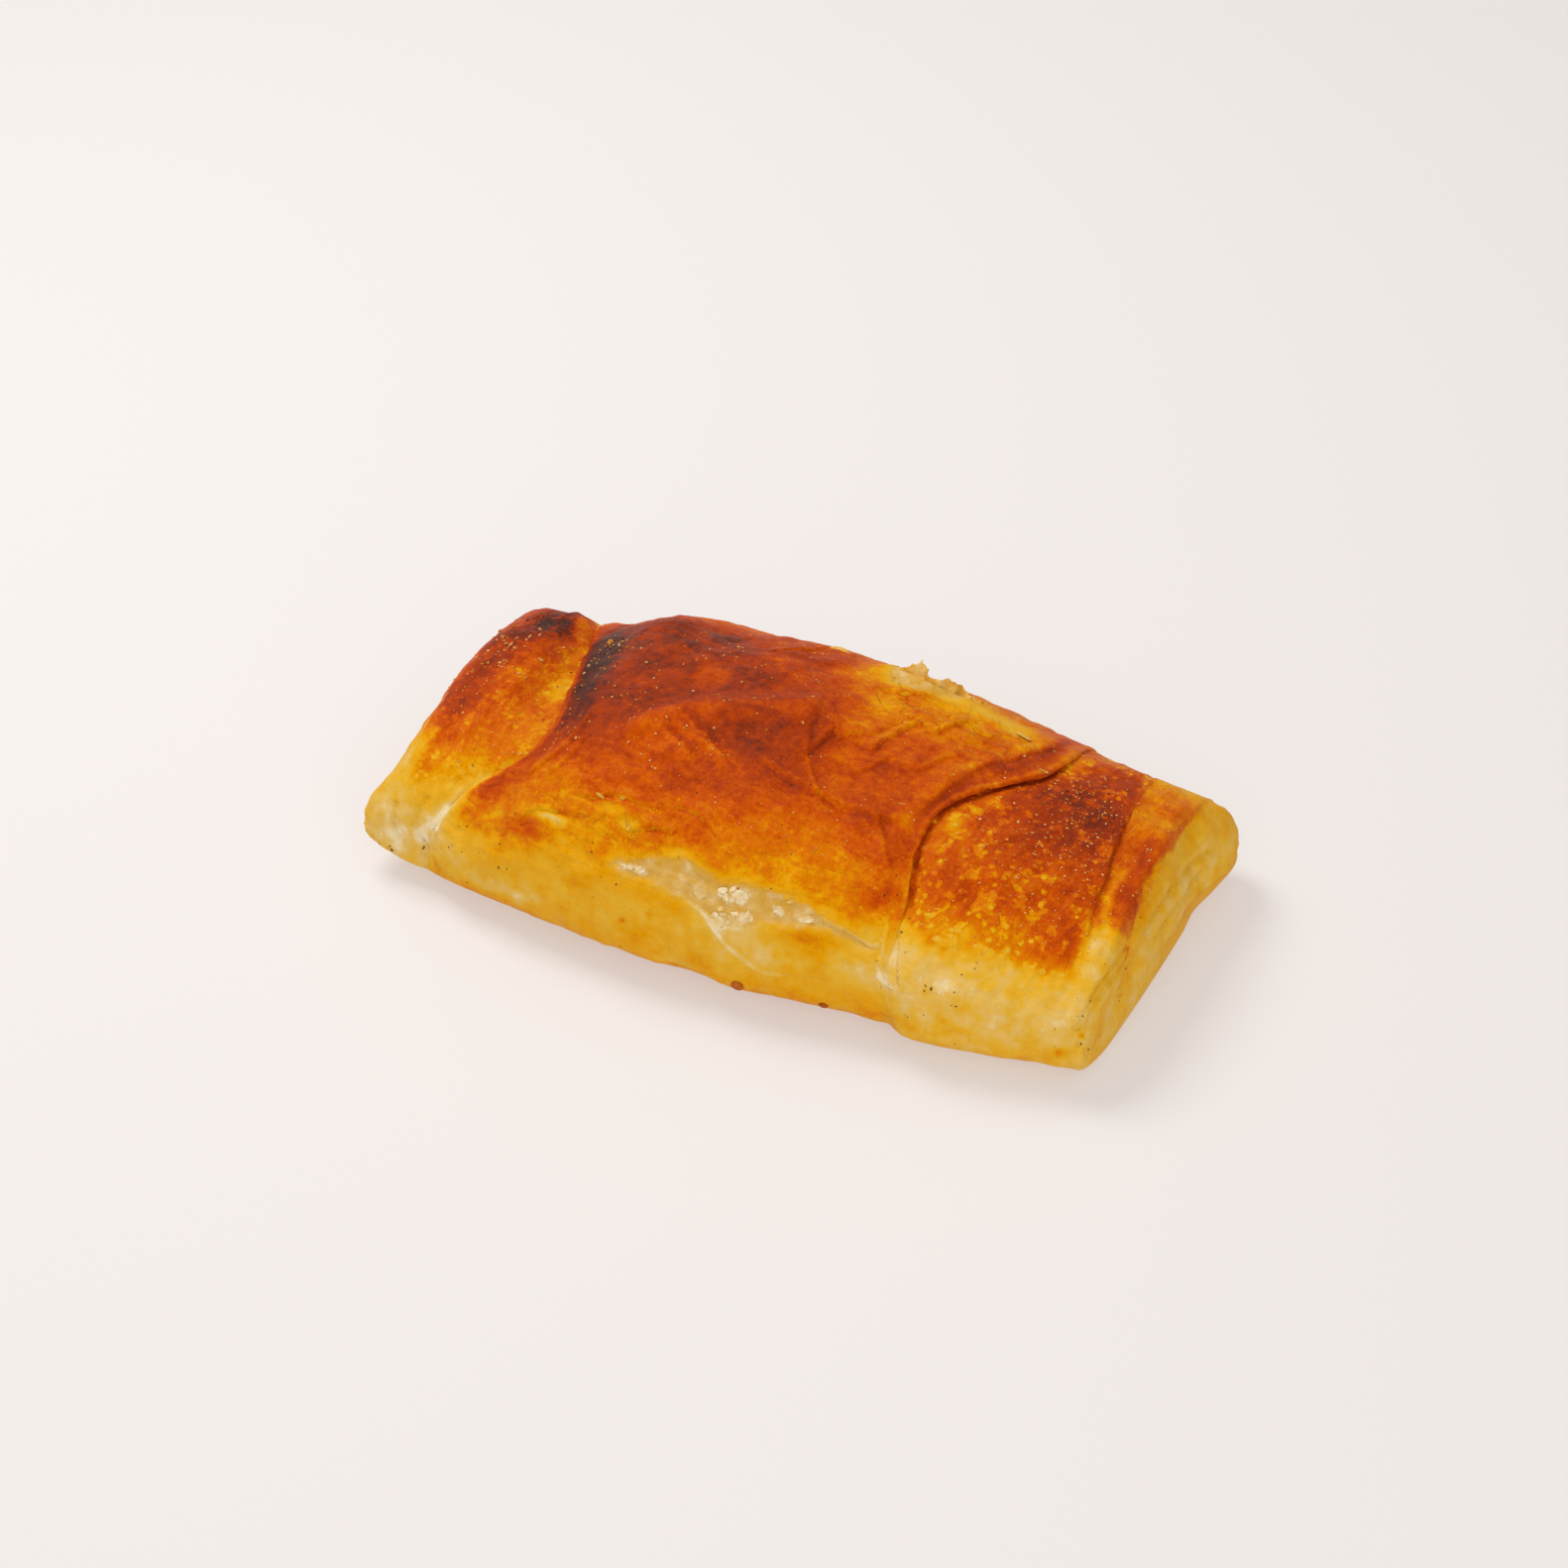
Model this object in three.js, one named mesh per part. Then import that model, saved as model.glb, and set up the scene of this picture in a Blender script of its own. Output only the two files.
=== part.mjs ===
// Lentil borek: one baked parcel of folded dough, solid, as it lies on a table.
// A wide middle sheet laps over the left end and over a right panel, and the right end is folded in.
// Millimetres and degrees. +X runs along the parcel to its folded right end, -Y is its front, +Z is up.
// The origin is on the table under the middle of the parcel.
import * as THREE from "three";
import { ParametricGeometry } from "three/addons/geometries/ParametricGeometry.js";
import { mergeGeometries, mergeVertices } from "three/addons/utils/BufferGeometryUtils.js";

// Driving dimensions
const BELLY_HEIGHT = 8; // where the sides stand out furthest
const BASE_SINK = 1.2; // how much of the round underside is pressed flat by the table
const LEFT_SHOULDER_X = -60; // where the rounded left end begins
const LEFT_LIFT = { from: -60, to: -74, height: 1.0 }; // the left end curls up off the table
const SEAM_RISE = 1.5; // the pinched line that closes each end runs this much above the bellies
const SEAM_CORNER = 2; // and stops this far inside them
const SEAM_TURN = 3; // each end's round goes from 90, open, to 0, shut, and stops here for its narrow cap
const CRUST_COLOUR = 0xc9832c;

// Fullness of the section and of the ends: 1 is an ellipse, and less is fuller
const UPPER_FULLNESS = { across: 0.8, up: 0.87 };
const LOWER_FULLNESS = { across: 0.62, up: 0.77 };
const END_FULLNESS = { leftEnd: 0.8, rightEnd: 0.68 };

// Lines of the parcel along X: [x, value]
const FRONT_BELLY_Y = [[-75, -30.5], [-66, -33], [-45, -36.8], [-13, -40.6], [8, -40.4], [24, -38.4],
  [34, -37.6], [38, -37.4], [42, -39.2], [47, -39.4], [56, -37.8], [70, -34.8], [78, -34]];
const BACK_BELLY_Y = [[-75, 31], [-55, 36], [-20, 38.6], [20, 38.6], [50, 36], [78, 32]];
const CREST_Z = [[-75, 25], [-66, 27.5], [-57, 29.5], [-49, 29], [-33, 36], [-5, 36.8], [12, 35.8],
  [30, 32.6], [48, 28.6], [66, 25], [78, 23]];

// Reach of the two ends from front to back: [share of the way, x]
const END_REACH = {
  leftEnd: [[0, -71.5], [0.06, -73], [0.15, -73.8], [0.4, -71.6], [0.75, -71.8], [1, -72]],
  rightEnd: [[0, 75.6], [0.3, 75.6], [0.6, 77], [0.85, 79], [1, 78]],
};

// Fold lines around the section: [angle, x]. The front belly is at 0, the crest at 90, the back belly at 180.
const LEFT_FOLD_X = [[0, -57.5], [20, -54.2], [36, -52.8], [46, -50.4], [54, -46.6], [60, -42.6], [67, -40.2],
  [74, -40], [81, -41.6], [90, -44.6], [98, -47], [113, -50.2], [130, -52.6], [180, -56]];
const MIDDLE_LAP_X = [[0, 39], [13, 36.8], [45, 38], [68, 35.4], [80, 35.4], [88, 38], [95, 42.4], [107, 47.4],
  [146, 48.5], [180, 50]];
const END_FOLD_X = [[0, 69], [50, 69.2], [69, 68], [82, 66.8], [93, 65], [112, 63.3], [180, 60]];
const END_FACE_X = [[0, 73], [60, 73], [90, 71.5], [110, 70], [180, 69]];

// Height of each fold around the section: [angle, height]
const LEFT_FOLD_HEIGHT = [[-20, 0], [5, 1.8], [40, 1.9], [75, 3.2], [115, 3], [160, 1.2], [190, 0]];
const MIDDLE_LAP_HEIGHT = [[-20, 0], [12, 0.5], [34, 0.5], [50, 0.9], [75, 1.4], [105, 1.4], [130, 0.8], [190, 0]];
const END_FOLD_HEIGHT = [[-15, 0], [15, 0.5], [50, 0.6], [78, 0.9], [92, 0.8], [120, 0.2], [190, 0]];

// Groove across the folded right end, under its upper flap: its height from front to back, as [share, height]
const END_TUCK = { z: [[0, 4], [0.25, 11], [0.45, 17], [0.6, 21], [1, 30]], spread: 1.8, depth: 1.3 };

// Low swellings and hollows of the crust: where, how far they spread and how high
const SWELLINGS = [
  { x: -63, angle: 95, length: 8, turn: 26, height: 1.9 }, // left end
  { x: -57, angle: 127, length: 4.5, turn: 10, height: 2 }, // and its back beside the fold
  { x: -33, angle: 117, length: 5, turn: 9, height: 1 }, // hump on the crown behind the crest
  { x: -22, angle: 121, length: 7, turn: 15, height: -1.9 }, // and the dip beside it
  { x: -12, angle: 80, length: 12, turn: 12, height: 0.9 }, // bubble in the middle sheet
  { x: 3, angle: 77, length: 8, turn: 6, height: -0.9 }, // hollow below the crown's ridge
  { x: 17, angle: 92, length: 9, turn: 20, height: -1.4 }, // trough beside the middle lap
  { x: -30, angle: 60, length: 8, turn: 12, height: 0.5 }, // sheet swelling beside the left fold
  { x: 53, angle: 72, length: 10, turn: 26, height: 1.1 }, // right panel
  { x: 16, angle: 124, length: 7, turn: 5, height: 1.5 }, // torn flakes along the back
  { x: 60, angle: 128, length: 8, turn: 12, height: 0.8 }, // back of the right panel
  { x: 70, angle: 135, length: 9, turn: 30, height: 0.8 }, // back corner of the right end
];

// Waves of the dough: their heights, and the millimetres of skin that a degree around the section takes
const WAVES = { across: 0.22, along: 0.2, aslant: 0.13 };
const SKIN_PER_DEGREE = 0.55;
const RELIEF_FADE = 25; // degrees under the bellies over which folds and waves die out

// Strip on the front where the outer skin has flaked off
const BARE_STRIP = {
  from: -19, to: 36, taper: 5, angle: 25, slope: -0.14, halfTurn: 8, ragged: 2.5, depth: 0.7,
};

// Columns of faces along the parcel, span by span, and rows around it
const SPAN_COLUMNS = {
  leftEnd: 9, leftPanel: 11, leftStep: 1, middle: 38, lapStep: 1,
  rightPanel: 16, endStep: 1, endFold: 3, rightEnd: 11,
};
const COLUMNS = Object.values(SPAN_COLUMNS).reduce((sum, count) => sum + count);
const UPPER_ROWS = 40;
const LOWER_ROWS = 14;
const ROWS = UPPER_ROWS + LOWER_ROWS;
const STEP_WIDTH = 0.5; // length of the steep face at the edge of a lap
const HAIR = 1e-6; // a column on a fold line counts as the sheet that laps over
const WELD = 1e-3; // corners closer than this are one

const { clamp, lerp, smoothstep, degToRad } = THREE.MathUtils;
const bell = (offset, spread) => Math.exp(-((offset / spread) ** 2));

// Smooth curve through [position, value] points, level beyond its ends.
function along(points, at) {
  const last = points.length - 1;
  const p = clamp(at, points[0][0], points[last][0]);
  let i = 0;
  while (i < last - 1 && p > points[i + 1][0]) i += 1;
  const slope = (k) => {
    const [a, b] = [points[Math.max(k - 1, 0)], points[Math.min(k + 1, last)]];
    return (b[1] - a[1]) / (b[0] - a[0]);
  };
  const [[x0, y0], [x1, y1]] = [points[i], points[i + 1]];
  const width = x1 - x0;
  const t = (p - x0) / width;
  const [t2, t3] = [t * t, t * t * t];
  return (2 * t3 - 3 * t2 + 1) * y0 + (t3 - 2 * t2 + t) * width * slope(i)
    + (3 * t2 - 2 * t3) * y1 + (t3 - t2) * width * slope(i + 1);
}

// The smooth parcel before its folds: the point of the section at x, as [y, z].
// The upper half is a dome and the lower half a flatter bowl that the table presses flat.
function sectionPoint(x, angle) {
  const [front, back] = [along(FRONT_BELLY_Y, x), along(BACK_BELLY_Y, x)];
  const [cos, sin] = [Math.cos(degToRad(angle)), Math.sin(degToRad(angle))];
  const fullness = sin >= 0 ? UPPER_FULLNESS : LOWER_FULLNESS;
  const across = Math.sign(cos) * Math.abs(cos) ** fullness.across;
  const up = Math.sign(sin) * Math.abs(sin) ** fullness.up;
  const y = (front + back) / 2 - ((back - front) / 2) * across;
  const rise = sin >= 0 ? along(CREST_Z, x) - BELLY_HEIGHT : BELLY_HEIGHT + BASE_SINK;
  return [y, Math.max(0, BELLY_HEIGHT + rise * up)];
}

// Slow waves of hand-rolled dough: across the parcel, along it and aslant.
function unevenness(x, angle) {
  const round = angle * SKIN_PER_DEGREE;
  return WAVES.across * Math.sin(x / 4.1 + 1.7 * Math.sin(round / 6.3))
    + WAVES.along * Math.sin(round / 3.7 + 2.1 * Math.sin(x / 7.9))
    + WAVES.aslant * Math.sin(x / 1.9 - round / 2.6);
}

// How bare the crust is where its outer skin has flaked off, from 0 to 1.
function bareness(x, angle) {
  const { from, to, slope, halfTurn, ragged, taper } = BARE_STRIP;
  const middle = BARE_STRIP.angle + slope * (x - (from + to) / 2);
  const edge = ragged * (Math.sin(x / 3.1 + 1) + 0.7 * Math.sin(x / 1.9));
  const across = smoothstep(halfTurn - Math.abs(angle - middle) + edge, -1, 1.5);
  return across * smoothstep(x, from, from + taper) * (1 - smoothstep(x, to - taper, to));
}

// Height of the folded crust over the smooth parcel, along the section's outward normal.
function relief(x, angle, side) {
  const fromLeftFold = x - foldX(LEFT_FOLD_X, angle);
  const insideLap = foldX(MIDDLE_LAP_X, angle) - x;
  const insideEnd = foldX(END_FOLD_X, angle) - x;

  // The middle sheet rises from the left fold, whose far side dips to meet it.
  const leftFold = along(LEFT_FOLD_HEIGHT, angle) * (side.leftFold > 0
    ? 0.3 - 0.6 * Math.exp(-fromLeftFold / 5)
    : -bell(fromLeftFold, 6.5));
  // It rolls up to a lip at the middle lap, with the right panel low beside it.
  const middleLap = along(MIDDLE_LAP_HEIGHT, angle) * (side.middleLap > 0
    ? 0.15 + 0.75 * bell(insideLap - 2, 5)
    : -0.65 * Math.exp(insideLap / 5));
  // The right panel ends in a narrower lip over the folded end.
  const endFold = along(END_FOLD_HEIGHT, angle) * (side.endFold > 0
    ? 0.6 * bell(insideEnd, 6)
    : -0.6 * Math.exp(insideEnd / 3));
  const swelling = SWELLINGS.reduce(
    (sum, s) => sum + s.height * bell(x - s.x, s.length) * bell(angle - s.angle, s.turn), 0);
  const bare = BARE_STRIP.depth * bareness(x, angle);
  return unevenness(x, angle) + leftFold + middleLap + endFold + swelling - bare;
}

// Where a fold line crosses the section. Under the base it runs straight from the back belly to the front.
function foldX(line, angle) {
  if (angle >= 0 && angle <= 180) return along(line, angle);
  const underShare = (angle < 0 ? angle + 180 : angle - 180) / 180;
  return lerp(along(line, 180), along(line, 0), underShare);
}

// Where a column of faces meets the section at this angle: its x, which side of each fold it is on, and the
// turn of an end's round there, 90 where the section is open.
function station(column, angle) {
  const shoulder = { left: LEFT_SHOULDER_X, right: foldX(END_FACE_X, angle) };
  const lines = [LEFT_FOLD_X, MIDDLE_LAP_X, END_FOLD_X];
  const [leftFold, middleLap, endFold] = lines.map((line) => foldX(line, angle));
  const span = {
    leftEnd: [shoulder.left, shoulder.left],
    leftPanel: [shoulder.left, leftFold - STEP_WIDTH],
    leftStep: [leftFold - STEP_WIDTH, leftFold],
    middle: [leftFold, middleLap],
    lapStep: [middleLap, middleLap + STEP_WIDTH],
    rightPanel: [middleLap + STEP_WIDTH, endFold],
    endStep: [endFold, endFold + STEP_WIDTH],
    endFold: [endFold + STEP_WIDTH, shoulder.right],
    rightEnd: [shoulder.right, shoulder.right],
  };
  let first = 0;
  for (const [name, count] of Object.entries(SPAN_COLUMNS)) {
    if (column <= first + count) {
      const share = (column - first) / count;
      const x = lerp(...span[name], share);
      const side = {
        leftFold: x - leftFold + HAIR, middleLap: middleLap - x + HAIR, endFold: endFold - x + HAIR,
      };
      const openShare = { leftEnd: share, rightEnd: 1 - share }[name] ?? 1;
      const turn = lerp(SEAM_TURN, 90, openShare);
      return { x, side, turn, end: name };
    }
    first += count;
  }
  throw new Error(`no column ${column}`);
}

// Point of the crust at a column and an angle around the section.
function crustPoint(column, angle) {
  const { x, side, turn, end } = station(column, angle);
  const [y, z] = sectionPoint(x, angle);
  const [before, after] = [sectionPoint(x, angle - 1), sectionPoint(x, angle + 1)];
  const tangent = new THREE.Vector2(after[0] - before[0], after[1] - before[1]).normalize();
  const under = Math.max(-angle, angle - 180);
  const fade = 1 - smoothstep(under, 0, RELIEF_FADE);
  const height = relief(x, angle, side) * fade;
  const full = { y: y - tangent.y * height, z: Math.max(0, z + tangent.x * height) };
  if (turn === 90) return new THREE.Vector3(x, full.y, full.z);

  // Towards an end the section closes on a level seam.
  const open = Math.sin(degToRad(turn)) ** END_FULLNESS[end];
  const reach = Math.cos(degToRad(turn)) ** END_FULLNESS[end];
  const seamShare = (angle > 180 ? 360 - angle : Math.abs(angle)) / 180;
  const seam = {
    x: along(END_REACH[end], seamShare),
    y: lerp(along(FRONT_BELLY_Y, x) + SEAM_CORNER, along(BACK_BELLY_Y, x) - SEAM_CORNER, seamShare),
    z: BELLY_HEIGHT + SEAM_RISE * Math.sin(Math.PI * seamShare),
  };
  const point = new THREE.Vector3(
    lerp(x, seam.x, reach), lerp(seam.y, full.y, Math.sqrt(open)), lerp(seam.z, full.z, open));
  if (end === "rightEnd") {
    const tuck = bell(point.z - along(END_TUCK.z, seamShare), END_TUCK.spread);
    point.x -= END_TUCK.depth * tuck * reach;
  }
  return point;
}

// Point of the crust at a column and a row. Rows run from the front belly over the top and under the base.
function gridPoint(column, row) {
  const turned = row <= UPPER_ROWS ? (180 * row) / UPPER_ROWS : 180 + (180 * (row - UPPER_ROWS)) / LOWER_ROWS;
  const angle = turned > 270 ? turned - 360 : turned;
  const point = crustPoint(column, angle);
  point.z += LEFT_LIFT.height * smoothstep(-point.x, -LEFT_LIFT.from, -LEFT_LIFT.to);
  return point;
}

// The narrow face that closes the crust at its first or last column. It faces along X, forwards or backwards.
function endCap(column, facing) {
  const loop = Array.from({ length: ROWS }, (_, row) => gridPoint(column, row));
  const outline = loop.map((point) => new THREE.Vector2(point.y, point.z));
  const corners = THREE.ShapeUtils.triangulateShape(outline, []).flatMap(([a, b, c]) => {
    const [ab, ac] = [outline[b].clone().sub(outline[a]), outline[c].clone().sub(outline[a])];
    return ab.cross(ac) * facing > 0 ? [loop[a], loop[b], loop[c]] : [loop[a], loop[c], loop[b]];
  });
  return new THREE.BufferGeometry().setFromPoints(corners);
}

// The whole crust as one closed skin.
function crustGeometry() {
  const place = (u, v, target) => target.copy(gridPoint(Math.round(u * COLUMNS), Math.round(v * ROWS)));
  const skin = new ParametricGeometry(place, COLUMNS, ROWS).toNonIndexed();
  skin.deleteAttribute("normal");
  skin.deleteAttribute("uv");
  const crust = mergeVertices(mergeGeometries([skin, endCap(0, -1), endCap(COLUMNS, 1)]), WELD);
  crust.computeBoundingBox();
  const middle = crust.boundingBox.getCenter(new THREE.Vector3());
  return crust.translate(-middle.x, -middle.y, 0);
}

const borek = new THREE.Mesh(
  crustGeometry(),
  new THREE.MeshStandardMaterial({ color: CRUST_COLOUR, roughness: 0.55, metalness: 0 }),
);
borek.name = "borek";

const part = new THREE.Group();
part.add(borek);

export default part;
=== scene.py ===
# Lentil borek, dressed: one baked parcel of folded dough with its browned crust, flaked skin and crumbs.
# Named sizes are in millimetres and degrees, and the scene is in metres.
import math
import random
from functools import partial

import bmesh
import bpy
import numpy as np
from mathutils import Matrix, Vector, noise


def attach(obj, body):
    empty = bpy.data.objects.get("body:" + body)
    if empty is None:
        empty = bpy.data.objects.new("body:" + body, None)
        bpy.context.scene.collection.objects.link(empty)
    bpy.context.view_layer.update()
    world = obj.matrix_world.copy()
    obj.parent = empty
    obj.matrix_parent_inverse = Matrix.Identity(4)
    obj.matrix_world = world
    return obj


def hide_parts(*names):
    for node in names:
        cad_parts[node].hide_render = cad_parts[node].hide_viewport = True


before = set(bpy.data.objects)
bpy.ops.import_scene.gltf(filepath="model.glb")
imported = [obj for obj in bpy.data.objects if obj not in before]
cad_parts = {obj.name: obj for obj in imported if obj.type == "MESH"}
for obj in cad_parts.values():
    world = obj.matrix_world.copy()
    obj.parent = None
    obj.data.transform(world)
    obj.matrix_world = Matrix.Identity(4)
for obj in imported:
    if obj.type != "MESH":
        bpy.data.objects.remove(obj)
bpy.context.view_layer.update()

MM = 0.001
SEED = 7
MIDDLE = (2.6, -1.03, 0)  # the parcel's middle in its own lines, which is the frame's origin

# Section of the parcel
BELLY_HEIGHT = 8  # where the sides stand out furthest
BASE_SINK = 1.2  # how much of the round underside is pressed flat
UPPER_FULLNESS = (0.8, 0.87)  # across and up: 1 is an ellipse, and less is fuller
LOWER_FULLNESS = (0.62, 0.77)
END_FULLNESS = {"left_end": 0.8, "right_end": 0.78}
LEFT_SHOULDER_X = -60  # where the rounded left end begins
LEFT_LIFT = (-60, -74, 1.0)  # the left end curls up: from x, to x, height
SEAM_RISE = 1.5  # the pinched line that closes each end runs this much above the bellies
SEAM_CORNER = 2  # and stops this far inside them
SEAM_TURN = 1.5  # each end's round goes from 90, open, to 0, shut, and stops here

# Lines of the parcel along X: (x, value)
FRONT_BELLY_Y = ((-75, -30.5), (-66, -33), (-45, -36.8), (-13, -39.9), (-2, -39.5), (9, -40.2),
                 (24, -38.4), (34, -37.6), (38.2, -37.4), (41.6, -39.3), (47, -39.4), (56, -37.8),
                 (70, -34.8), (78, -34))
BACK_BELLY_Y = ((-75, 31), (-55, 36), (-20, 38.6), (20, 38.6), (50, 36), (78, 32))
CREST_Z = ((-75, 25), (-66, 27.5), (-57, 29.5), (-49, 29), (-33, 36), (-5, 36.8), (12, 35.8),
           (30, 32.6), (48, 28.6), (66, 25), (78, 23))
# Reach of the two ends from front to back: (share of the way, x)
END_REACH = {
    "left_end": ((0, -72.8), (0.06, -75), (0.14, -74.4), (0.24, -72.2), (0.38, -71.2), (0.55, -72.4),
                 (0.75, -72.4), (1, -72.2)),
    "right_end": ((0, 74.6), (0.2, 75.2), (0.45, 76.4), (0.55, 76.6), (0.62, 76.1), (0.71, 77.6),
                  (0.84, 79), (1, 77.6)),
}

# The folds: which way along X the upper sheet lies, and how much paler its lip is painted, a painted
# highlight on its lit face. Around the section, as (angle, millimetres): where the fold lies, its height,
# how far its lip hangs over the sheet below, and the width over which its step is spread where it lies
# soft. The front belly is at angle 0, the crest at 90 and the back belly at 180.
FOLDS = {
    "left": {
        "upper": 1, "paler": 0.1,
        "x": ((0, -57.5), (20, -54.2), (36, -52.8), (46, -50.4), (54, -46.6), (60, -42.6), (67, -40.2),
              (74, -40), (81, -41.6), (90, -44.6), (98, -47), (113, -50.2), (130, -52.6), (180, -56)),
        "height": ((-20, 0), (5, 1.8), (40, 1.9), (75, 3.2), (115, 3), (160, 1.2), (190, 0)),
        "overhang": ((0, 0.1), (50, 0.3), (80, 0.4), (120, 0.3), (180, 0.1)),
        "softness": ((0, 6), (20, 5), (34, 2), (44, 0), (110, 0), (130, 3), (180, 6)),
    },
    "lap": {
        "upper": -1, "paler": 0.05,
        "x": ((0, 39), (13, 36.8), (45, 38), (68, 35.4), (80, 35.4), (88, 38), (95, 42.4), (107, 47.4),
              (146, 48.5), (180, 50)),
        "height": ((-20, 0), (12, 0.5), (34, 0.5), (50, 0.9), (75, 1.4), (105, 1.4), (130, 0.8), (190, 0)),
        "overhang": ((0, 0.2), (40, 0.3), (70, 0.4), (100, 1), (115, 0.9), (140, 0.3), (180, 0.1)),
        "softness": ((0, 5), (15, 4), (27, 3), (36, 1.4), (46, 0), (120, 0), (150, 2), (180, 4)),
    },
    "end": {
        "upper": -1, "paler": 0.05,
        "x": ((0, 69), (17, 69.3), (50, 69.2), (69, 68), (82, 66.8), (93, 65), (112, 63.3), (180, 60)),
        "height": ((-15, 0), (15, 0.5), (50, 0.6), (64, 0.7), (78, 0.9), (92, 0.8), (120, 0.2), (190, 0)),
        "overhang": ((0, 0), (62, 0), (78, 0.35), (95, 0.3), (112, 0), (180, 0)),
        "softness": ((0, 5), (45, 4), (62, 3), (72, 1.4), (80, 0.3), (98, 0.3), (115, 3), (180, 5)),
    },
}
# Where the rounded right end begins: (angle, x)
END_FACE_X = ((0, 73), (60, 73), (90, 71.5), (110, 70), (180, 69))
# Across a lip, from the top of the sheet to the sheet below: (share, reach) and (share, height)
LIP_REACH = ((0, 0), (0.2, 0.6), (0.4, 1), (0.55, 0.9), (0.75, 0.2), (0.9, -0.3), (1, 0))
LIP_HEIGHT = ((0, 1), (0.2, 0.97), (0.4, 0.8), (0.55, 0.58), (0.75, 0.4), (0.9, 0.1), (1, 0))
# How the lower sheets dip beside the folds and the upper ones rise, as shares of their height, and over how
# many millimetres
LEFT_DIP_SPREAD = 6.5
LEFT_SHEET = (0.3, 0.6, 5)  # rise, and how much less at the fold
LAP_DIP, END_DIP = (0.75, 4), (0.6, 3)
LAP_SHEET = 0.05
LAP_RIDGES = ((0, 0.9, 0.15), (4.5, 2.2, 0.2))  # millimetres inside the edge, spread and height
END_SHEET = (0.6, 6)

# Low swellings and hollows of the crust: x, angle, length, turn and height
SWELLINGS = (
    (-63, 95, 8, 26, 1.9),  # left end
    (-57, 127, 4.5, 10, 2),  # and its back beside the fold
    (-33, 117, 5, 9, 1.0),  # hump on the crown behind the crest
    (-22, 121, 7, 15, -1.9),  # and the dip beside it
    (-12, 80, 12, 12, 0.9),  # bubble in the middle sheet
    (3, 77, 8, 6, -0.9),  # hollow below the crown's ridge
    (17, 92, 9, 20, -1.4),  # trough beside the middle lap
    (-30, 60, 8, 12, 0.5),  # sheet swelling beside the left fold
    (53, 72, 10, 26, 1.1),  # right panel
    (16, 124, 7, 5, 1.5),  # torn flakes along the back
    (60, 128, 8, 12, 0.8),  # back of the right panel
    (70, 135, 9, 30, 0.8),  # back corner of the right end
)
END_TUCK_Z = ((0, 4), (0.25, 11), (0.45, 17), (0.6, 21), (1, 30))  # groove across the right end
END_TUCK = (2.6, 1)  # spread and depth of that groove
END_TUCK_FADE = (0.12, 0.36)  # share of the way across over which it deepens
SKIN_PER_DEGREE = 0.55  # millimetres of skin around the section
RELIEF_FADE = 25  # degrees under the bellies over which folds and waves die out

# Columns of faces along the parcel, and rows around it as (to this angle, in steps of)
SPANS = (("left_end", 26), ("left_panel", 52), ("left_lip", 8), ("middle", 206), ("lap_lip", 10),
         ("right_panel", 76), ("end_lip", 8), ("end_fold", 10), ("right_end", 28))
ROW_STEPS = ((120, 0.8), (180, 1.5), (330, 5), (360, 2.5))

# Browning of each panel from front to back: (angle, browning). 0 is raw dough and 1 is charred.
BROWNING = {
    "left": ((-20, 0.3), (0, 0.2), (15, 0.21), (25, 0.27), (38, 0.38), (50, 0.46), (60, 0.54),
             (75, 0.6), (85, 0.63), (92, 0.68), (105, 0.73), (126, 0.74), (140, 0.66), (180, 0.48)),
    "middle": ((-20, 0.45), (-4, 0.41), (4, 0.37), (12, 0.37), (22, 0.41), (32, 0.46), (42, 0.53),
               (52, 0.62), (62, 0.72), (75, 0.79), (90, 0.82), (110, 0.84), (122, 0.74), (132, 0.62),
               (180, 0.48)),
    "right": ((-20, 0.38), (0, 0.28), (15, 0.19), (30, 0.19), (38, 0.29), (44, 0.47), (52, 0.59),
              (65, 0.64), (80, 0.68), (92, 0.8), (110, 0.8), (122, 0.72), (132, 0.62), (180, 0.48)),
    "end": ((-20, 0.38), (0, 0.28), (30, 0.24), (58, 0.26), (66, 0.5), (75, 0.66), (90, 0.68),
            (105, 0.62), (118, 0.52), (140, 0.44), (180, 0.4)),
    "tuck": ((0, 0.24), (45, 0.26), (60, 0.32), (70, 0.42), (92, 0.42), (106, 0.34), (125, 0.4),
             (180, 0.4)),
    "face": ((0, 0.28), (45, 0.3), (70, 0.28), (100, 0.25), (118, 0.25), (135, 0.28), (180, 0.38)),
}
TUCK_EDGE = (-0.6, 0.8)  # millimetres past the tuck line over which the tuck's browning sets in
FACE_EDGE = (1, 7)  # and the face's
DRIP_TURN = 3  # degrees by which the right panel's browning drips and creeps

# Browner and paler bands along the folds, some of them painted light: panel, fold, millimetres inside it,
# spread and (angle, change)
FOLD_BANDS = (
    ("middle", "left", 4.2, 4.2, ((20, 0), (42, 0.05), (60, 0.05), (74, 0.12), (86, 0.2), (100, 0.22),
        (112, 0.15),
                                  (130, 0.05), (180, 0))),
    # A painted highlight along the rim of the middle sheet's lip at the left fold
    ("middle", "left", 0.2, 0.8, ((26, 0), (36, -0.12), (56, -0.18), (76, -0.16), (90, -0.12), (104, 0))),
    ("middle", "lap", 3, 1.4, ((30, 0), (82, 0), (96, 0.04), (108, 0.12), (122, 0.18), (135, 0.12),
        (160, 0.04))),
    # A painted highlight along the rim of the lap's lip
    ("middle", "lap", 0, 0.45, ((40, 0), (52, -0.06), (64, -0.08), (100, -0.12), (112, -0.08), (125, 0))),
    # Painted shade on the right panel just under the lap's overhanging lip
    ("right", "lap", -0.5, 0.9, ((36, 0), (48, 0.1), (62, 0.13), (100, 0.12), (120, 0.05), (150, 0))),
)
CRISP_WIDTH = 1.5  # a fold softer than this has no painted highlight on its lip
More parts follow.
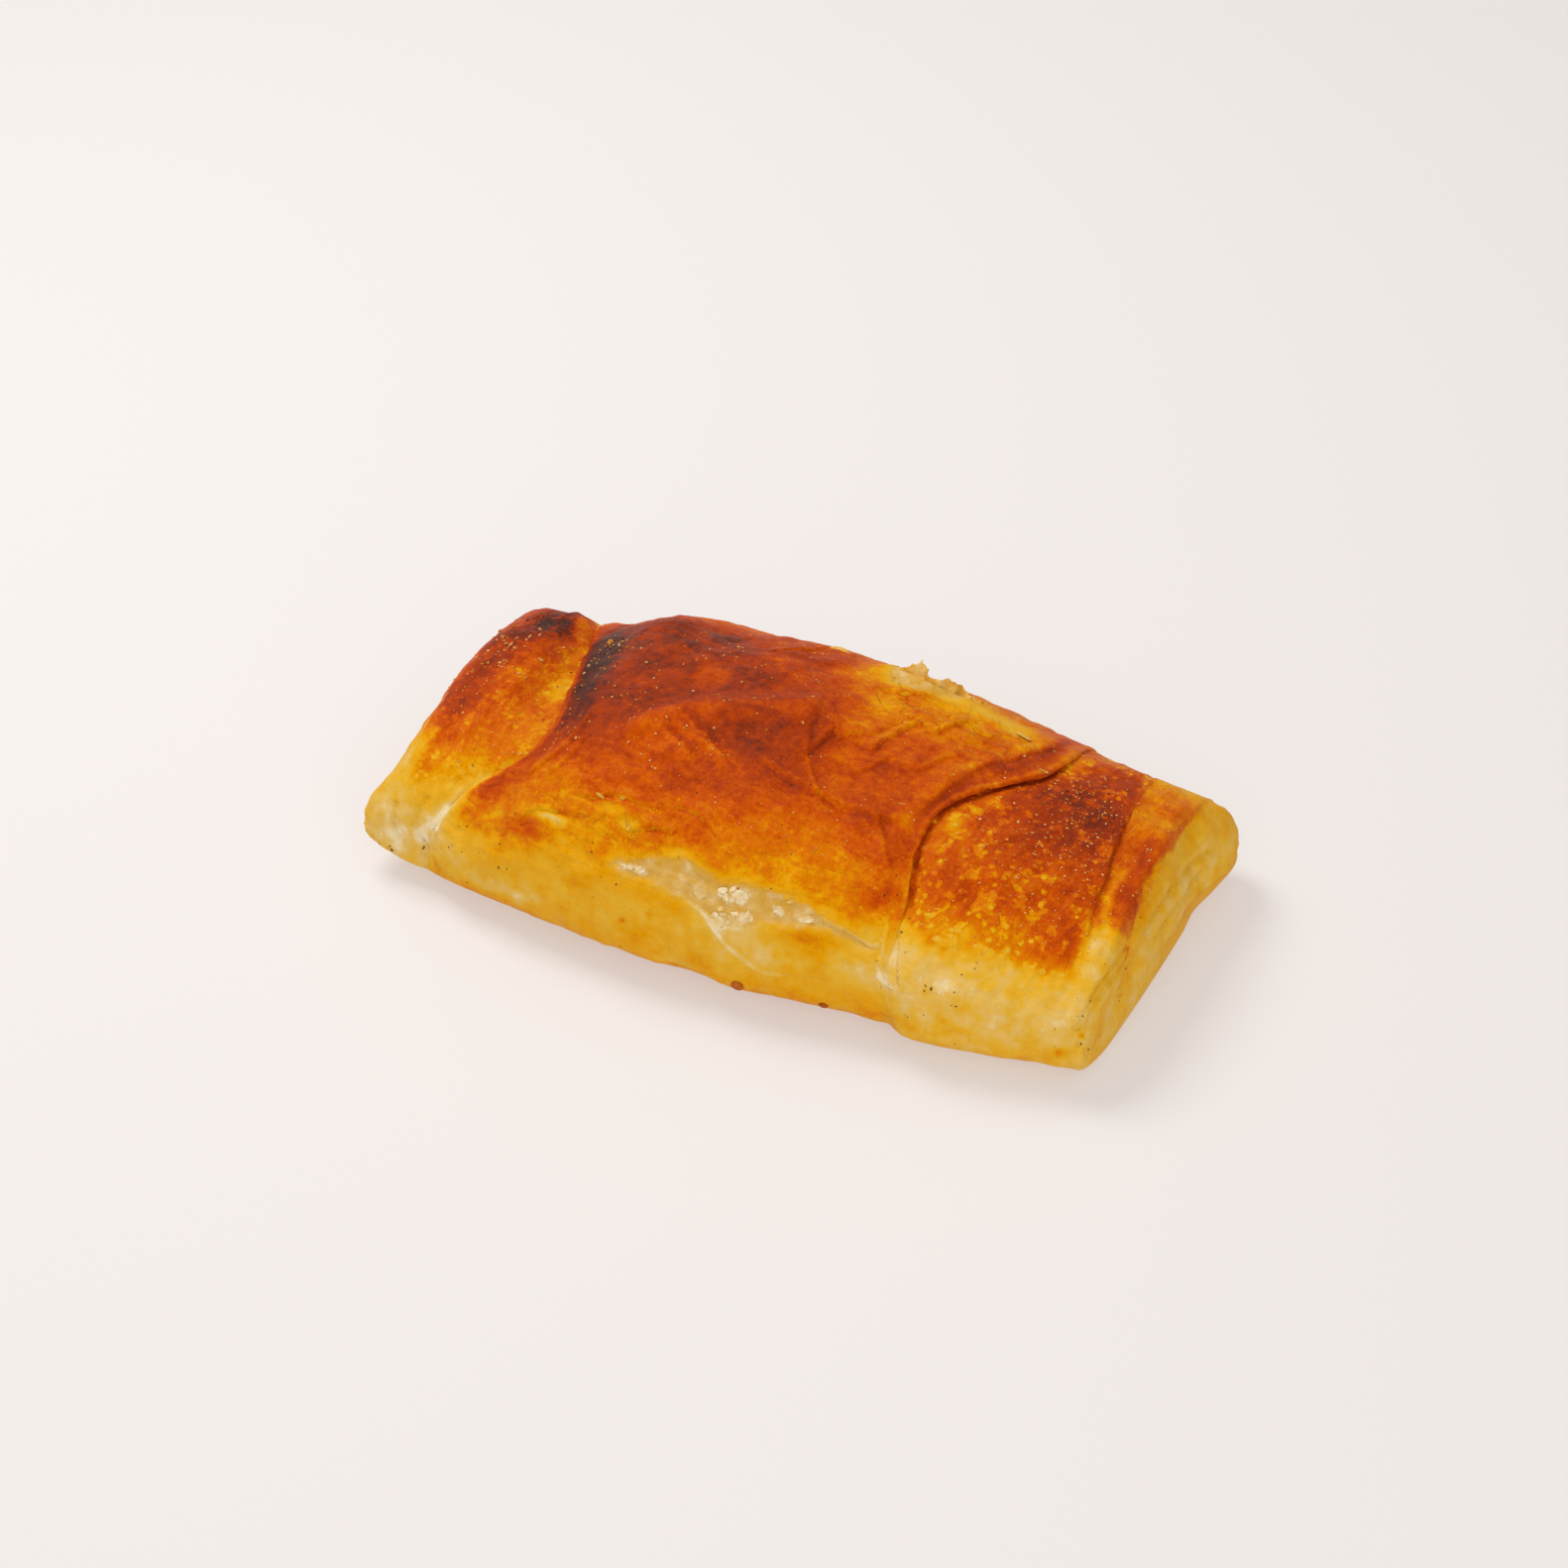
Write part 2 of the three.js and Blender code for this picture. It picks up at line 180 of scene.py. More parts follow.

# Browner and paler places: x, angle, length, turn and change of browning
BROWN_PLACES = (
    # Left end
    (-68, 46, 3, 22, -0.2), (-68, 8, 5, 12, -0.08), (-61, 60, 3, 20, 0.05), (-58, 116, 2.6, 5, 0.14),
    (-56, 70, 3.5, 12, 0.06), (-49, 32, 2.5, 4, 0.06), (-54.5, 91, 3, 6, -0.06),
    # Front of the middle sheet
    (-38, 4, 8, 5, -0.2), (-10, 14, 14, 6, -0.05), (4, 8, 6, 5, -0.06), (-52, 12, 5, 14, -0.1),
    (-38, 28, 8, 5, 0.19), (-47, 45, 5, 7, 0.12), (-32, 36, 4.5, 1.8, -0.2), (-15, 41, 2, 2, -0.14),
    (-20, 45, 8, 3, -0.1), (-5, 45, 6, 5, 0.1), (10, 54, 11, 8, -0.05), (-13.4, 9, 0.9, 1.4, 0.22),
    (-7.4, 13, 0.8, 1.4, 0.2), (14, 0, 14, 5, 0.03), (38, -2, 8, 5, 0.05), (8, 17.5, 4.5, 4.5, -0.26),
    (15, 12, 5.5, 4.5, -0.2), (-4, -5, 6, 4, -0.12), (24, 21, 5, 3.5, 0.08), (31, 17, 5, 6, -0.14),
    (36, 20, 3, 12, -0.14),
    # Crown and back of the middle sheet
    (1, 83, 8, 7, 0.04), (5, 112, 7, 8, -0.13), (11, 109, 8, 9, -0.08), (-6, 107, 9, 6, -0.04),
    (20, 92, 12, 12, -0.06), (13, 84, 5, 6, -0.05), (-5, 76, 4, 5, 0.04), (-12, 71, 9, 5, -0.1),
    (-15.6, 93, 3.2, 3, -0.1), (-8, 108, 4, 4, -0.1), (15, 101, 6, 9, -0.28), (15, 124, 9, 12, -0.34),
    (27, 114, 8, 11, -0.36), (25, 100, 6, 6, -0.16), (38, 117, 6, 8, -0.24), (32, 126, 10, 6, -0.1),
    (22, 83, 5, 5, -0.03), (30, 90, 4, 8, -0.1), (-30, 95, 14, 25, 0.02), (-21, 112, 4, 7, 0.04),
    (14, 64, 5, 6, -0.05), (29, 76, 6, 7, -0.07), (33, 104, 5, 6, -0.1), (-3, 103, 8, 6, -0.06),
    (34, 118, 8, 8, -0.12), (42, 113, 3.5, 6, -0.08), (24, 50, 8, 8, -0.06), (33.6, 44, 2.4, 6, 0.18),
    (38.5, 40, 3.5, 5, 0.07), (-24, 66, 7, 5, -0.02), (21, 72, 11, 16, -0.08), (36, 94, 5, 11, -0.15),
    (40, 106, 4, 6, -0.08),
    # Right panel
    (39.6, 79, 2.4, 6, -0.18), (42.5, 90, 2, 4, -0.18), (38.6, 69, 1.2, 3, -0.16), (56, 69, 2, 2, -0.1),
    (45, 33, 5, 5, -0.06), (59, 91, 6, 8, 0.03), (56, 103, 6, 8, 0.06), (69, 104, 4, 8, -0.1),
    (66, 52, 3, 8, 0.14), (49, 116, 5, 12, -0.2), (45, 102, 2.5, 6, -0.14), (50, 48, 4, 4, -0.08),
    (50, 62, 7, 8, 0.05), (53, 3, 6, 3, 0.1), (44, 2, 3, 4, 0.1), (58, 50, 3, 4, -0.06),
    # Right end
    (73, 18, 3, 14, -0.06), (72.5, 118, 3, 8, 0.06), (85.2, 48, 0.8, 1.6, 0.24), (83, 52, 0.7, 2, 0.2),
    (74.3, 16, 0.8, 1.8, 0.26), (79.6, 65, 0.5, 1.2, 0.3), (70, 2, 1.2, 2, 0.2), (85.9, 96, 0.7, 1.4, 0.2),
)
# Browner and paler lines: spread, change of browning and (x, angle) points
BROWN_LINES = (
    # Left end: gold beside the fold, a dark band, a pale crease and a golden streak
    (2.6, -0.19, ((-54.8, 130), (-52.8, 114), (-50.2, 99), (-48.4, 91))),
    (2.2, -0.08, ((-47.8, 89), (-45.8, 81), (-44.4, 71), (-45.6, 63), (-48.4, 56), (-51.2, 48))),
    (4.2, 0.19, ((-58, 124), (-60, 108), (-61.4, 97), (-62.6, 89), (-63, 81), (-62.8, 72))),
    (1.4, -0.2, ((-50.6, 50), (-53, 41), (-54.6, 31), (-56.8, 22), (-58.6, 13), (-60, 6))),
    (1.7, 0.1, ((-61, 58), (-62.8, 47), (-63.7, 38), (-63, 29))),
    # Middle sheet: a pale dash, and a line of painted shade in the crease along the lap
    (0.7, -0.14, ((-33.6, 35), (-31, 36), (-28, 35.6))),
    (0.5, 0.05, ((34, 78), (35.6, 86), (37.2, 91.6), (39.2, 97), (41.6, 104), (43.8, 111), (45.4, 119),
                 (47, 130))),
    # Right end: a red line along its fold, a yellow strip and an orange tongue
    (0.5, 0.03, ((69, 60), (68.3, 68), (67.5, 76), (66.5, 83), (65.3, 90), (64.4, 97), (63.9, 103))),
    (1.1, -0.16, ((71, 64), (70.2, 72), (69.2, 79), (68.2, 86))),
    (1.7, 0.12, ((71, 97), (72, 90), (72.8, 81), (73.4, 73), (73.8, 67))),
)

# Outlines of the places where the outer skin has flaked off, on the front and along the back: (x, angle)
BARE_OUTLINES = (
    ((-15.8, 28), (-13, 30.2), (-10.5, 31), (-8.9, 33), (-6.3, 34.6), (-3, 35.6), (-0.3, 35),
     (2.6, 33.6), (4.7, 33), (6.8, 33.4), (11.3, 35), (14, 35), (16, 34.6), (19.5, 34), (22, 33),
     (24.8, 31), (28, 29.4), (32, 27.4), (34.5, 25.6), (31.8, 26), (28, 27.6), (25, 28), (22, 26.6),
     (20, 25.6), (18, 24.4), (16, 25), (13.5, 22.6), (13, 21), (9.6, 20.5), (8.2, 18.5), (6, 17.5),
     (4.3, 19), (2.3, 21), (0.7, 22), (-3.5, 24), (-7, 25), (-9, 26), (-13.7, 25)),
    ((10.5, 119), (12.6, 116.4), (16, 116), (19, 117), (22, 118.6), (24.5, 121), (25.5, 125), (20, 129),
     (14, 128), (11, 124)),
)
BARE_DEPTH = 0.25
BARE_EDGE = (-0.6, 0.6)  # millimetres over which it deepens
# Outlines of scraps of white skin left on it: (x, angle)
SCRAP_OUTLINES = (
    ((4.8, 27.4), (5.4, 30), (7.6, 32.2), (10.3, 33), (11.2, 30.4), (10.2, 27), (8.8, 27.8), (7.4, 26),
     (6.2, 27.6)),
    ((2, 22), (3.9, 19.6), (6.2, 21), (8.4, 22.6), (10, 24.4), (12.2, 26), (13, 23), (11.7, 21),
     (8.9, 18.4), (6.6, 15.4), (4.6, 17.4)),
    ((-15, 28), (-12.7, 29.8), (-11, 29.8), (-8.9, 28), (-9, 26.4), (-10.7, 26), (-12, 27), (-13.6, 26.4)),
    ((15.2, 30), (17.1, 31.4), (18.6, 28.4), (17.6, 26.4), (16.4, 27)),
    ((19.8, 27.4), (21.7, 29.6), (24.4, 30.6), (25, 29), (22, 27.4)),
)
SCRAP_HEIGHT = 0.1
SCRAP_EDGE = (-0.1, 0.2)

# Torn edges of the top skin: (x, angle). The paler skin below is on the right of the way they run.
TEARS = (
    ((10, 92), (12, 89), (14.4, 91), (17.4, 92), (18.7, 97), (20.8, 102), (23.7, 105), (26.7, 102),
     (29, 100)),
    ((7, 73), (9.8, 72.3), (12.5, 72), (15, 71)),
    ((-26, 46), (-23.4, 46.5), (-21, 49.6), (-17.4, 50), (-15.3, 50), (-11.6, 50)),
    ((-9.8, 52), (-6, 52), (-2.8, 51), (-1.8, 50)),
    ((-36.2, 35), (-33.8, 37.6), (-31.2, 38), (-27.6, 38.6)),
    ((-15.2, 42), (-14.3, 39.4), (-13.4, 41), (-9.3, 44), (-6.7, 44)),
    ((-10.2, 112), (-8.5, 116), (-5.2, 119), (-4, 124)),
    ((39, 36), (39.8, 30), (40.5, 24), (41.4, 18)),
    ((27, 108), (29, 107), (31, 108.4), (33, 106.6), (35, 107)),
    ((20, 113), (22, 112), (24, 114), (26, 113)),
    ((30, 99.6), (32, 101), (34, 103), (36, 103.6)),
    ((13, 110), (15, 111.4), (17, 111.8), (19.4, 114)),
)
# Long torn lips, pale in the skin's own cream and with a painted highlight: (x, angle). The lower skin is on
# the right of the way they run.
LIPS = (
    ((18.4, 6), (15.7, 5.5), (12.6, 7), (10.3, 10), (7.8, 13), (5.8, 16), (4.3, 19), (2.3, 21),
     (0.7, 22), (-1.3, 24), (-3.5, 24)),
    ((25.1, 29.5), (27.2, 28.5), (29.4, 28.6), (31.8, 26.5), (34.3, 26), (35.7, 27)),
    ((36, 35), (35.9, 30), (36.3, 27), (36.1, 21), (36.6, 14.5), (38, 12.8), (39.6, 14)),
)
# Height of these edges, and how far the skin rises before them and dips behind them
TEAR_STEP, LIP_STEP = (0.2, 1.6, 0.8), (0.12, 1.4, 1)

# Fine creases, sunk in and darkened with painted shade: (x, angle)
CREASES = (
    ((36.4, 63), (37.4, 59), (38.1, 53), (38.8, 48)),
    ((34, 78), (35.6, 86), (37.2, 91.6), (39.2, 97), (41.6, 104), (43.8, 111), (45.4, 119)),
    ((-60, 30), (-61.4, 22), (-62.4, 13), (-61.3, 7), (-59.1, 3)),
    ((-66.7, 22), (-66.9, 9), (-65.8, 2)),
    ((78, 66), (76.4, 54), (74.6, 42), (74.2, 30), (73.2, 18)),
    ((80.2, 66), (78.7, 55), (76.8, 45), (75.2, 31), (74.4, 20), (73.6, 9)),
    ((81, 124), (80.4, 104), (80.4, 90), (81, 78)),
    ((84.6, 120), (84.2, 104), (84.2, 92), (84.8, 82)),
)
CREASE_DEPTH, CREASE_SPREAD = 0.38, 0.6

# Where the pale face of the right end begins: (place along the skin, angle)
END_TUCK_LINE = ((72, -20), (72, 8), (72.7, 20), (73.7, 34), (74.4, 43), (75.4, 54), (76.8, 64),
                 (77.2, 71), (76.2, 77), (73.9, 82), (73.2, 88), (73.6, 94), (74.4, 100), (74.2, 112),
                 (73.6, 125), (72, 180))
END_TUCK_STEP = (0.3, 3)  # depth of the step down to it, and the millimetres it takes

# Soft ridges: spread, height and (x, angle) points
RIDGES = (
    (2.2, 1.5, ((-22, 72), (-18, 78), (-14, 83), (-7, 86), (-0.6, 89), (4.6, 92))),
    (0.8, 0.25, ((-17.2, 76), (-12.5, 76), (-7.5, 74), (-3, 70))),
    (0.8, 0.2, ((-25, 62), (-19, 60), (-13, 58))),
    (1.6, 0.25, ((44.2, 124), (41.5, 110), (38.2, 100), (35.8, 92), (34, 88), (32.5, 80), (31.5, 72))),
    (1.1, 0.4, ((71.5, 101), (72, 93), (72.3, 87), (72.7, 80), (73, 72), (73.2, 66))),
    (1.2, 0.45, ((71.8, 58), (71.8, 45), (71.6, 30), (71, 15))),
    (1.3, 0.55, ((79, 122), (78.4, 100), (78.6, 84), (79.4, 72))),
    (1.2, 0.5, ((83, 124), (82.4, 106), (82.4, 92), (83.2, 80), (82, 66))),
    (1.0, 0.4, ((86.2, 118), (85.8, 104), (86, 92))),
    (1.0, 0.4, ((76.2, 34), (77.4, 44), (79.4, 54))),
    (1.2, 0.35, ((-64, 60), (-64.4, 45), (-65, 30), (-64.4, 16))),
)
RIDGE_SHEEN = 0.08  # painted sheen: their crests are painted this much paler, as a highlight
RIDGE_SHEEN_FROM = (0.35, 0.55)  # browning where that painted sheen sets in and where it is full

# Low steps in the sheets: height, width and (x, angle) points.
# The raised side is on the left of the way they run.
STEPS = (
    (0.42, 4, ((16, 71), (13.6, 75), (11.1, 80), (8.9, 84), (7.3, 88), (6.6, 91))),
    (0.6, 3, ((3.9, 74), (8.9, 73), (12.4, 71.4), (15.3, 71), (20.3, 70), (25.3, 70), (29.7, 70.4))),
    (0.4, 2.5, ((32.8, 57), (31.6, 60), (29.5, 66), (27.5, 70))),
    (0.7, 3, ((10, 86), (10.6, 90), (14.3, 90), (19.1, 89.4), (20.1, 93), (22.5, 102), (26.6, 99.6),
              (28.8, 106))),
    (0.4, 2.5, ((14.4, 84), (19.3, 82), (21.9, 88), (28, 88), (31.3, 93))),
    (0.5, 2, ((-37.6, 52), (-34.6, 58), (-33.2, 64), (-32.4, 72))),
    (0.35, 2, ((-33, 53), (-31, 60), (-30.2, 66))),
    (0.35, 2, ((-9.3, 70), (-13.7, 73), (-16.9, 74.4))),
    (0.3, 2, ((-4.4, 73), (-8.9, 77), (-13.6, 79.4))),
)
STEP_DIP = 0.4  # share of the height by which the lower side dips
# Painted shade just below each step's edge, and a painted highlight on its raised side
STEP_LIGHT_BANDS = ((0.5, 0.6, 0.05), (-0.3, 0.5, -0.06))  # millimetres off, spread and change of browning

# How ragged each kind of edge is
RAGGED = {"bare": 1, "scrap": 0.4, "tear": 0.6, "lip": 0.5, "tuck": 1.2, "step": 0.5}
# Layers of grain: height in millimetres or degrees, size and seed
EDGE_GRAIN = ((0.5, 3.1, 3), (0.35, 1.2, 4))
DOUGH_GRAIN = ((0.55, 12, 1), (0.4, 5, 2), (0.16, 1.8, 5))
FOOT_GRAIN = ((0.45, 7, 7), (0.25, 2.6, 8))
BROWN_WANDER_X = ((1.6, 7, 11), (0.7, 2.4, 13))
BROWN_WANDER_ANGLE = ((3.2, 7, 12), (1.6, 2.4, 14))
FOOT_ANGLE, FOOT_TURN = -10, 14  # where the foot is uneven
# Wrinkles and drips along the way the dough was drawn: length, width and seed
WRINKLES, DRIPS = (8, 1.6, 6), (12, 1.3, 9)
WRINKLE_HEIGHT = 0.2

# Where the skin is flaky: x, angle, length, turn and how flaky
FLAKY_PLACES = (
    (20, 108, 14, 13, 0.9), (-22, 42, 15, 8, 0.8), (8, 70, 16, 8, 0.5), (38, 104, 6, 12, 0.6),
    (4, 30, 18, 7, 0.6), (52, 66, 10, 18, 0.5), (-52, 70, 6, 20, 0.4), (-10, 108, 16, 12, 0.4),
)
FLAKY_ELSEWHERE = 0.12

# On each panel, which way the dough was drawn out, in degrees from the length, and how blistered it is
PANELS = {"left": (84, 0.6), "middle": (-4, 0.2), "right": (78, 1.0), "end": (88, 0.15)}


def along(points, at):
    """Smooth curve through (position, value) points, level beyond its ends."""
    places, values = np.array(points, float).T
    rise, run = np.diff(values), np.diff(places)
    inner = (rise[1:] + rise[:-1]) / (run[1:] + run[:-1])
    slopes = np.concatenate((rise[:1] / run[:1], inner, rise[-1:] / run[-1:]))
    at = np.clip(at, places[0], places[-1])
    i = np.clip(np.searchsorted(places, at, side="right") - 1, 0, len(run) - 1)
    t = (at - places[i]) / run[i]
    return ((1 + 2 * t) * (1 - t) ** 2 * values[i] + t * (1 - t) ** 2 * run[i] * slopes[i]
            + t * t * (3 - 2 * t) * values[i + 1] + t * t * (t - 1) * run[i] * slopes[i + 1])


def bell(offset, spread):
    return np.exp(-((offset / spread) ** 2))


def ease(value, low, high):
    """0 below low, 1 above high, and smooth between."""
    t = np.clip((value - low) / (high - low), 0, 1)
    return t * t * (3 - 2 * t)


def blend(a, b, share):
    return a + (b - a) * share


def grain(points, size, seed):
    """Smooth noise from -1 to 1 over points in millimetres, with lumps of about that size."""
    shift = Vector((seed * 17.3, seed * -9.1, seed * 5.7))
    values = (noise.noise(Vector(p) / size + shift) for p in points.reshape(-1, 3))
    return np.fromiter(values, float, points.size // 3).reshape(points.shape[:-1])


def grains(points, layers):
    """Sum of layers of grain: (height, size, seed)."""
    return sum(height * grain(points, size, seed) for height, size, seed in layers)


def patches(places, x, angle):
    """Sum of soft patches: (x, angle, length, turn, value)."""
    return sum(value * bell(x - at, length) * bell(angle - at_angle, turn)
               for at, at_angle, length, turn, value in places)


def section(x, angle):
    """The smooth parcel before its folds: y and z of the section at x."""
    front, back = along(FRONT_BELLY_Y, x), along(BACK_BELLY_Y, x)
    cos, sin = np.cos(np.radians(angle)), np.sin(np.radians(angle))
    upper = sin >= 0
    across = np.sign(cos) * np.abs(cos) ** np.where(upper, UPPER_FULLNESS[0], LOWER_FULLNESS[0])
    up = np.sign(sin) * np.abs(sin) ** np.where(upper, UPPER_FULLNESS[1], LOWER_FULLNESS[1])
    rise = np.where(upper, along(CREST_Z, x) - BELLY_HEIGHT, BELLY_HEIGHT + BASE_SINK)
    y = (front + back) / 2 - (back - front) / 2 * across
    return y, np.maximum(0, BELLY_HEIGHT + rise * up)


def fold_x(line, angle):
    """Where a fold line crosses the section. Under the base it runs straight from the back to the front."""
    under = np.where(angle < 0, angle + 180, angle - 180) / 180
    flat = blend(line[-1][1], line[0][1], under)
    return np.where((angle >= 0) & (angle <= 180), along(line, angle), flat)


def row_angles():
    """Angles of the rows, from the front belly over the top and under the base, from -90 to 270."""
    angles = [0.0]
    for to, step in ROW_STEPS:
        start = angles[-1]
        count = round((to - start) / step)
        angles.extend(start + (to - start) * (i + 1) / count for i in range(count))
    turned = np.array(angles)
    return np.where(turned > 270, turned - 360, turned)


def column_shares():
    """The span of each column and how far along its span it lies."""
    names, shares = [SPANS[0][0]], [0.0]
    for name, count in SPANS:
        names.extend([name] * count)
        shares.extend((i + 1) / count for i in range(count))
    return np.array(names), np.array(shares)


def line_distance(points, x, angle):
    """Distance in millimetres over the skin to a drawn line, negative on the left of the way it runs."""
    nearest = np.full(x.shape, np.inf)
    signed = np.full(x.shape, np.inf)
    for (x0, angle0), (x1, angle1) in zip(points, points[1:]):
        run, rise = x1 - x0, (angle1 - angle0) * SKIN_PER_DEGREE
        across, up = x - x0, (angle - angle0) * SKIN_PER_DEGREE
        share = np.clip((across * run + up * rise) / (run * run + rise * rise), 0, 1)
        far = np.hypot(across - share * run, up - share * rise)
        side = np.where(run * up - rise * across > 0, -1, 1)
        signed = np.where(far < nearest, far * side, signed)
        nearest = np.minimum(nearest, far)
    return signed


def outline_depth(points, x, angle):
    """Distance in millimetres over the skin inside a drawn outline, negative outside."""
    inside = np.zeros(x.shape, bool)
    for (x0, angle0), (x1, angle1) in zip(points, points[1:] + points[:1]):
        crosses = (angle0 > angle) != (angle1 > angle)
        height = np.where(angle1 == angle0, 1, angle1 - angle0)
        inside ^= crosses & (x < x0 + (x1 - x0) * (angle - angle0) / height)
    far = np.abs(line_distance(points + points[:1], x, angle))
    return np.where(inside, far, -far)


def nearest_line(lines, x, angle):
    """Signed distance in millimetres to the nearest of several drawn lines."""
    distances = np.array([line_distance(points, x, angle) for points in lines])
    return np.take_along_axis(distances, np.abs(distances).argmin(axis=0)[None], 0)[0]


class Skin:
    """The crust as a grid of columns and rows: where each corner lies and what it looks like."""

    def __init__(self):
        names, shares = column_shares()
        self.angle = np.broadcast_to(row_angles(), (len(names), len(row_angles())))
        self.name = np.broadcast_to(names[:, None], self.angle.shape)
        self.share = np.broadcast_to(shares[:, None], self.angle.shape)
        self.lay_columns()
        self.fold_sheets()
        self.draw_lines()
        self.lay_patterns()
        self.roughen_crust()
        self.brown_crust()

    def lay_columns(self):
        """Gives each corner its x, and how much it belongs to the upper sheet at each fold, from 0 to 1."""
        angle, share = self.angle, self.share
        order = [name for name, _ in SPANS]
        rank = np.select([self.name == name for name in order], range(len(order)))
        edges = [np.full(angle.shape, float(LEFT_SHOULDER_X))]
        reach = np.zeros(angle.shape)
        self.over = {}
        for name, fold in FOLDS.items():
            line, soft = fold_x(fold["x"], angle), along(fold["softness"], angle) / 2
            edges += [line - soft, line + soft]
            down = 1 - share if fold["upper"] > 0 else share
            at_lip = rank - order.index(name + "_lip")
            hang = -fold["upper"] * along(fold["overhang"], angle) * along(LIP_REACH, down)
            reach = np.where(at_lip == 0, hang, reach)
            self.over[name] = np.where(at_lip == 0, along(LIP_HEIGHT, down), at_lip * fold["upper"] > 0)
        edges.append(fold_x(END_FACE_X, angle))
        starts, stops = (edges[0], *edges), (*edges, edges[-1])
        self.x = blend(np.choose(rank, starts), np.choose(rank, stops), share) + reach
        self.inside = {name: fold["upper"] * (self.x - fold_x(fold["x"], angle))
                       for name, fold in FOLDS.items()}
        turn_share = np.select([rank == 0, rank == len(order) - 1], [share, 1 - share], 1)
        self.turn = np.radians(blend(SEAM_TURN, 90, turn_share))

    def fold_relief(self):
        """Height of the folds and swellings over the smooth parcel, along the section's outward normal."""
        far = {name: np.abs(inside) for name, inside in self.inside.items()}
        level, drop, reach = LEFT_SHEET
        ridges = sum(rise * bell(self.inside["lap"] - at, spread) for at, spread, rise in LAP_RIDGES)
        upper = {
            "left": level - drop * np.exp(-far["left"] / reach),
            "lap": LAP_SHEET + ridges,
            "end": END_SHEET[0] * bell(far["end"], END_SHEET[1]),
        }
        lower = {
            "left": -bell(far["left"], LEFT_DIP_SPREAD),
            "lap": -LAP_DIP[0] * np.exp(-far["lap"] / LAP_DIP[1]),
            "end": -END_DIP[0] * np.exp(-far["end"] / END_DIP[1]),
        }
        height = patches(SWELLINGS, self.x, self.angle)
        for name, fold in FOLDS.items():
            height += along(fold["height"], self.angle) * blend(lower[name], upper[name], self.over[name])
        return height * self.shows

    def fold_sheets(self):
        """Gives each corner its point on the folded sheets, in millimetres in the parcel's own lines."""
        x, angle = self.x, self.angle
        y, z = section(x, angle)
        (y0, z0), (y1, z1) = section(x, angle - 1), section(x, angle + 1)
        length = np.hypot(y1 - y0, z1 - z0)
        self.shows = 1 - ease(np.maximum(-angle, angle - 180), 0, RELIEF_FADE)
        height = self.fold_relief()
        y = y - (z1 - z0) / length * height
        z = np.maximum(0, z + (y1 - y0) / length * height)
        self.point = np.stack((x, y, z), -1)
        for end in END_REACH:
            at = self.name == end
            self.point[at] = self.close_end(end, at)
        lift_from, lift_to, lift = LEFT_LIFT
        self.point[..., 2] += lift * ease(-self.point[..., 0], -lift_from, -lift_to)
        self.measure_ends()

    def close_end(self, end, at):
        """Points of one end, where the section closes on a level seam."""
        x, y, z = self.point[at].T
        angle, turn = self.angle[at], self.turn[at]
        open_share = np.sin(turn) ** END_FULLNESS[end]
        reach = np.cos(turn) ** END_FULLNESS[end]
        across = np.where(angle > 180, 360 - angle, np.abs(angle)) / 180
        seam_x = along(END_REACH[end], across)
        seam_y = blend(along(FRONT_BELLY_Y, x) + SEAM_CORNER, along(BACK_BELLY_Y, x) - SEAM_CORNER, across)
        seam_z = BELLY_HEIGHT + SEAM_RISE * np.sin(np.pi * across)
        end_x = blend(x, seam_x, reach)
        end_z = blend(seam_z, z, open_share)
        if end == "right_end":
            spread, depth = END_TUCK
            depth = depth * ease(across, *END_TUCK_FADE)
            end_x = end_x - depth * reach * bell(end_z - along(END_TUCK_Z, across), spread)
        return np.stack((end_x, blend(seam_y, y, np.sqrt(open_share)), end_z), -1)

    def measure_ends(self):
        """Gives each corner its place along the skin: its x between the ends, and on over them."""
        steps = np.linalg.norm(np.diff(self.point, axis=0), axis=-1)
        run = np.concatenate((np.zeros((1, steps.shape[1])), np.cumsum(steps, axis=0)))
        self.place = self.x
        for end, column in (("left_end", SPANS[0][1]), ("right_end", len(run) - 1 - SPANS[-1][1])):
            self.place = np.where(self.name == end, self.x[column] + run - run[column], self.place)

    def find_normals(self):
        """Outward normals of the corners. The last row lies on the first."""
        rolled = np.concatenate((self.point[:, -2:-1], self.point, self.point[:, 1:2]), axis=1)
        across = np.cross(np.gradient(rolled, axis=0), np.gradient(rolled, axis=1))[:, 1:-1]
        return across / np.maximum(np.linalg.norm(across, axis=-1, keepdims=True), 1e-9)

    def draw_lines(self):
        """Ragged distances, in millimetres, to the drawn lines and into the drawn outlines."""
        place, angle = self.place, self.angle
        edge = grains(self.point, EDGE_GRAIN)
        self.rough = {name: ragged * edge for name, ragged in RAGGED.items()}
        self.bare, self.scrap = (np.max([outline_depth(points, place, angle) for points in outlines], axis=0)
                                 for outlines in (BARE_OUTLINES, SCRAP_OUTLINES))
        self.bare = self.bare + self.rough["bare"]
        self.scrap = self.scrap + self.rough["scrap"]
        self.tear = nearest_line(TEARS, place, angle) + self.rough["tear"]
        self.lip = nearest_line(LIPS, place, angle) + self.rough["lip"]
        self.crease = np.abs(nearest_line(CREASES, place, angle))
        self.past_tuck = line_distance(END_TUCK_LINE, place, angle) + self.rough["tuck"]

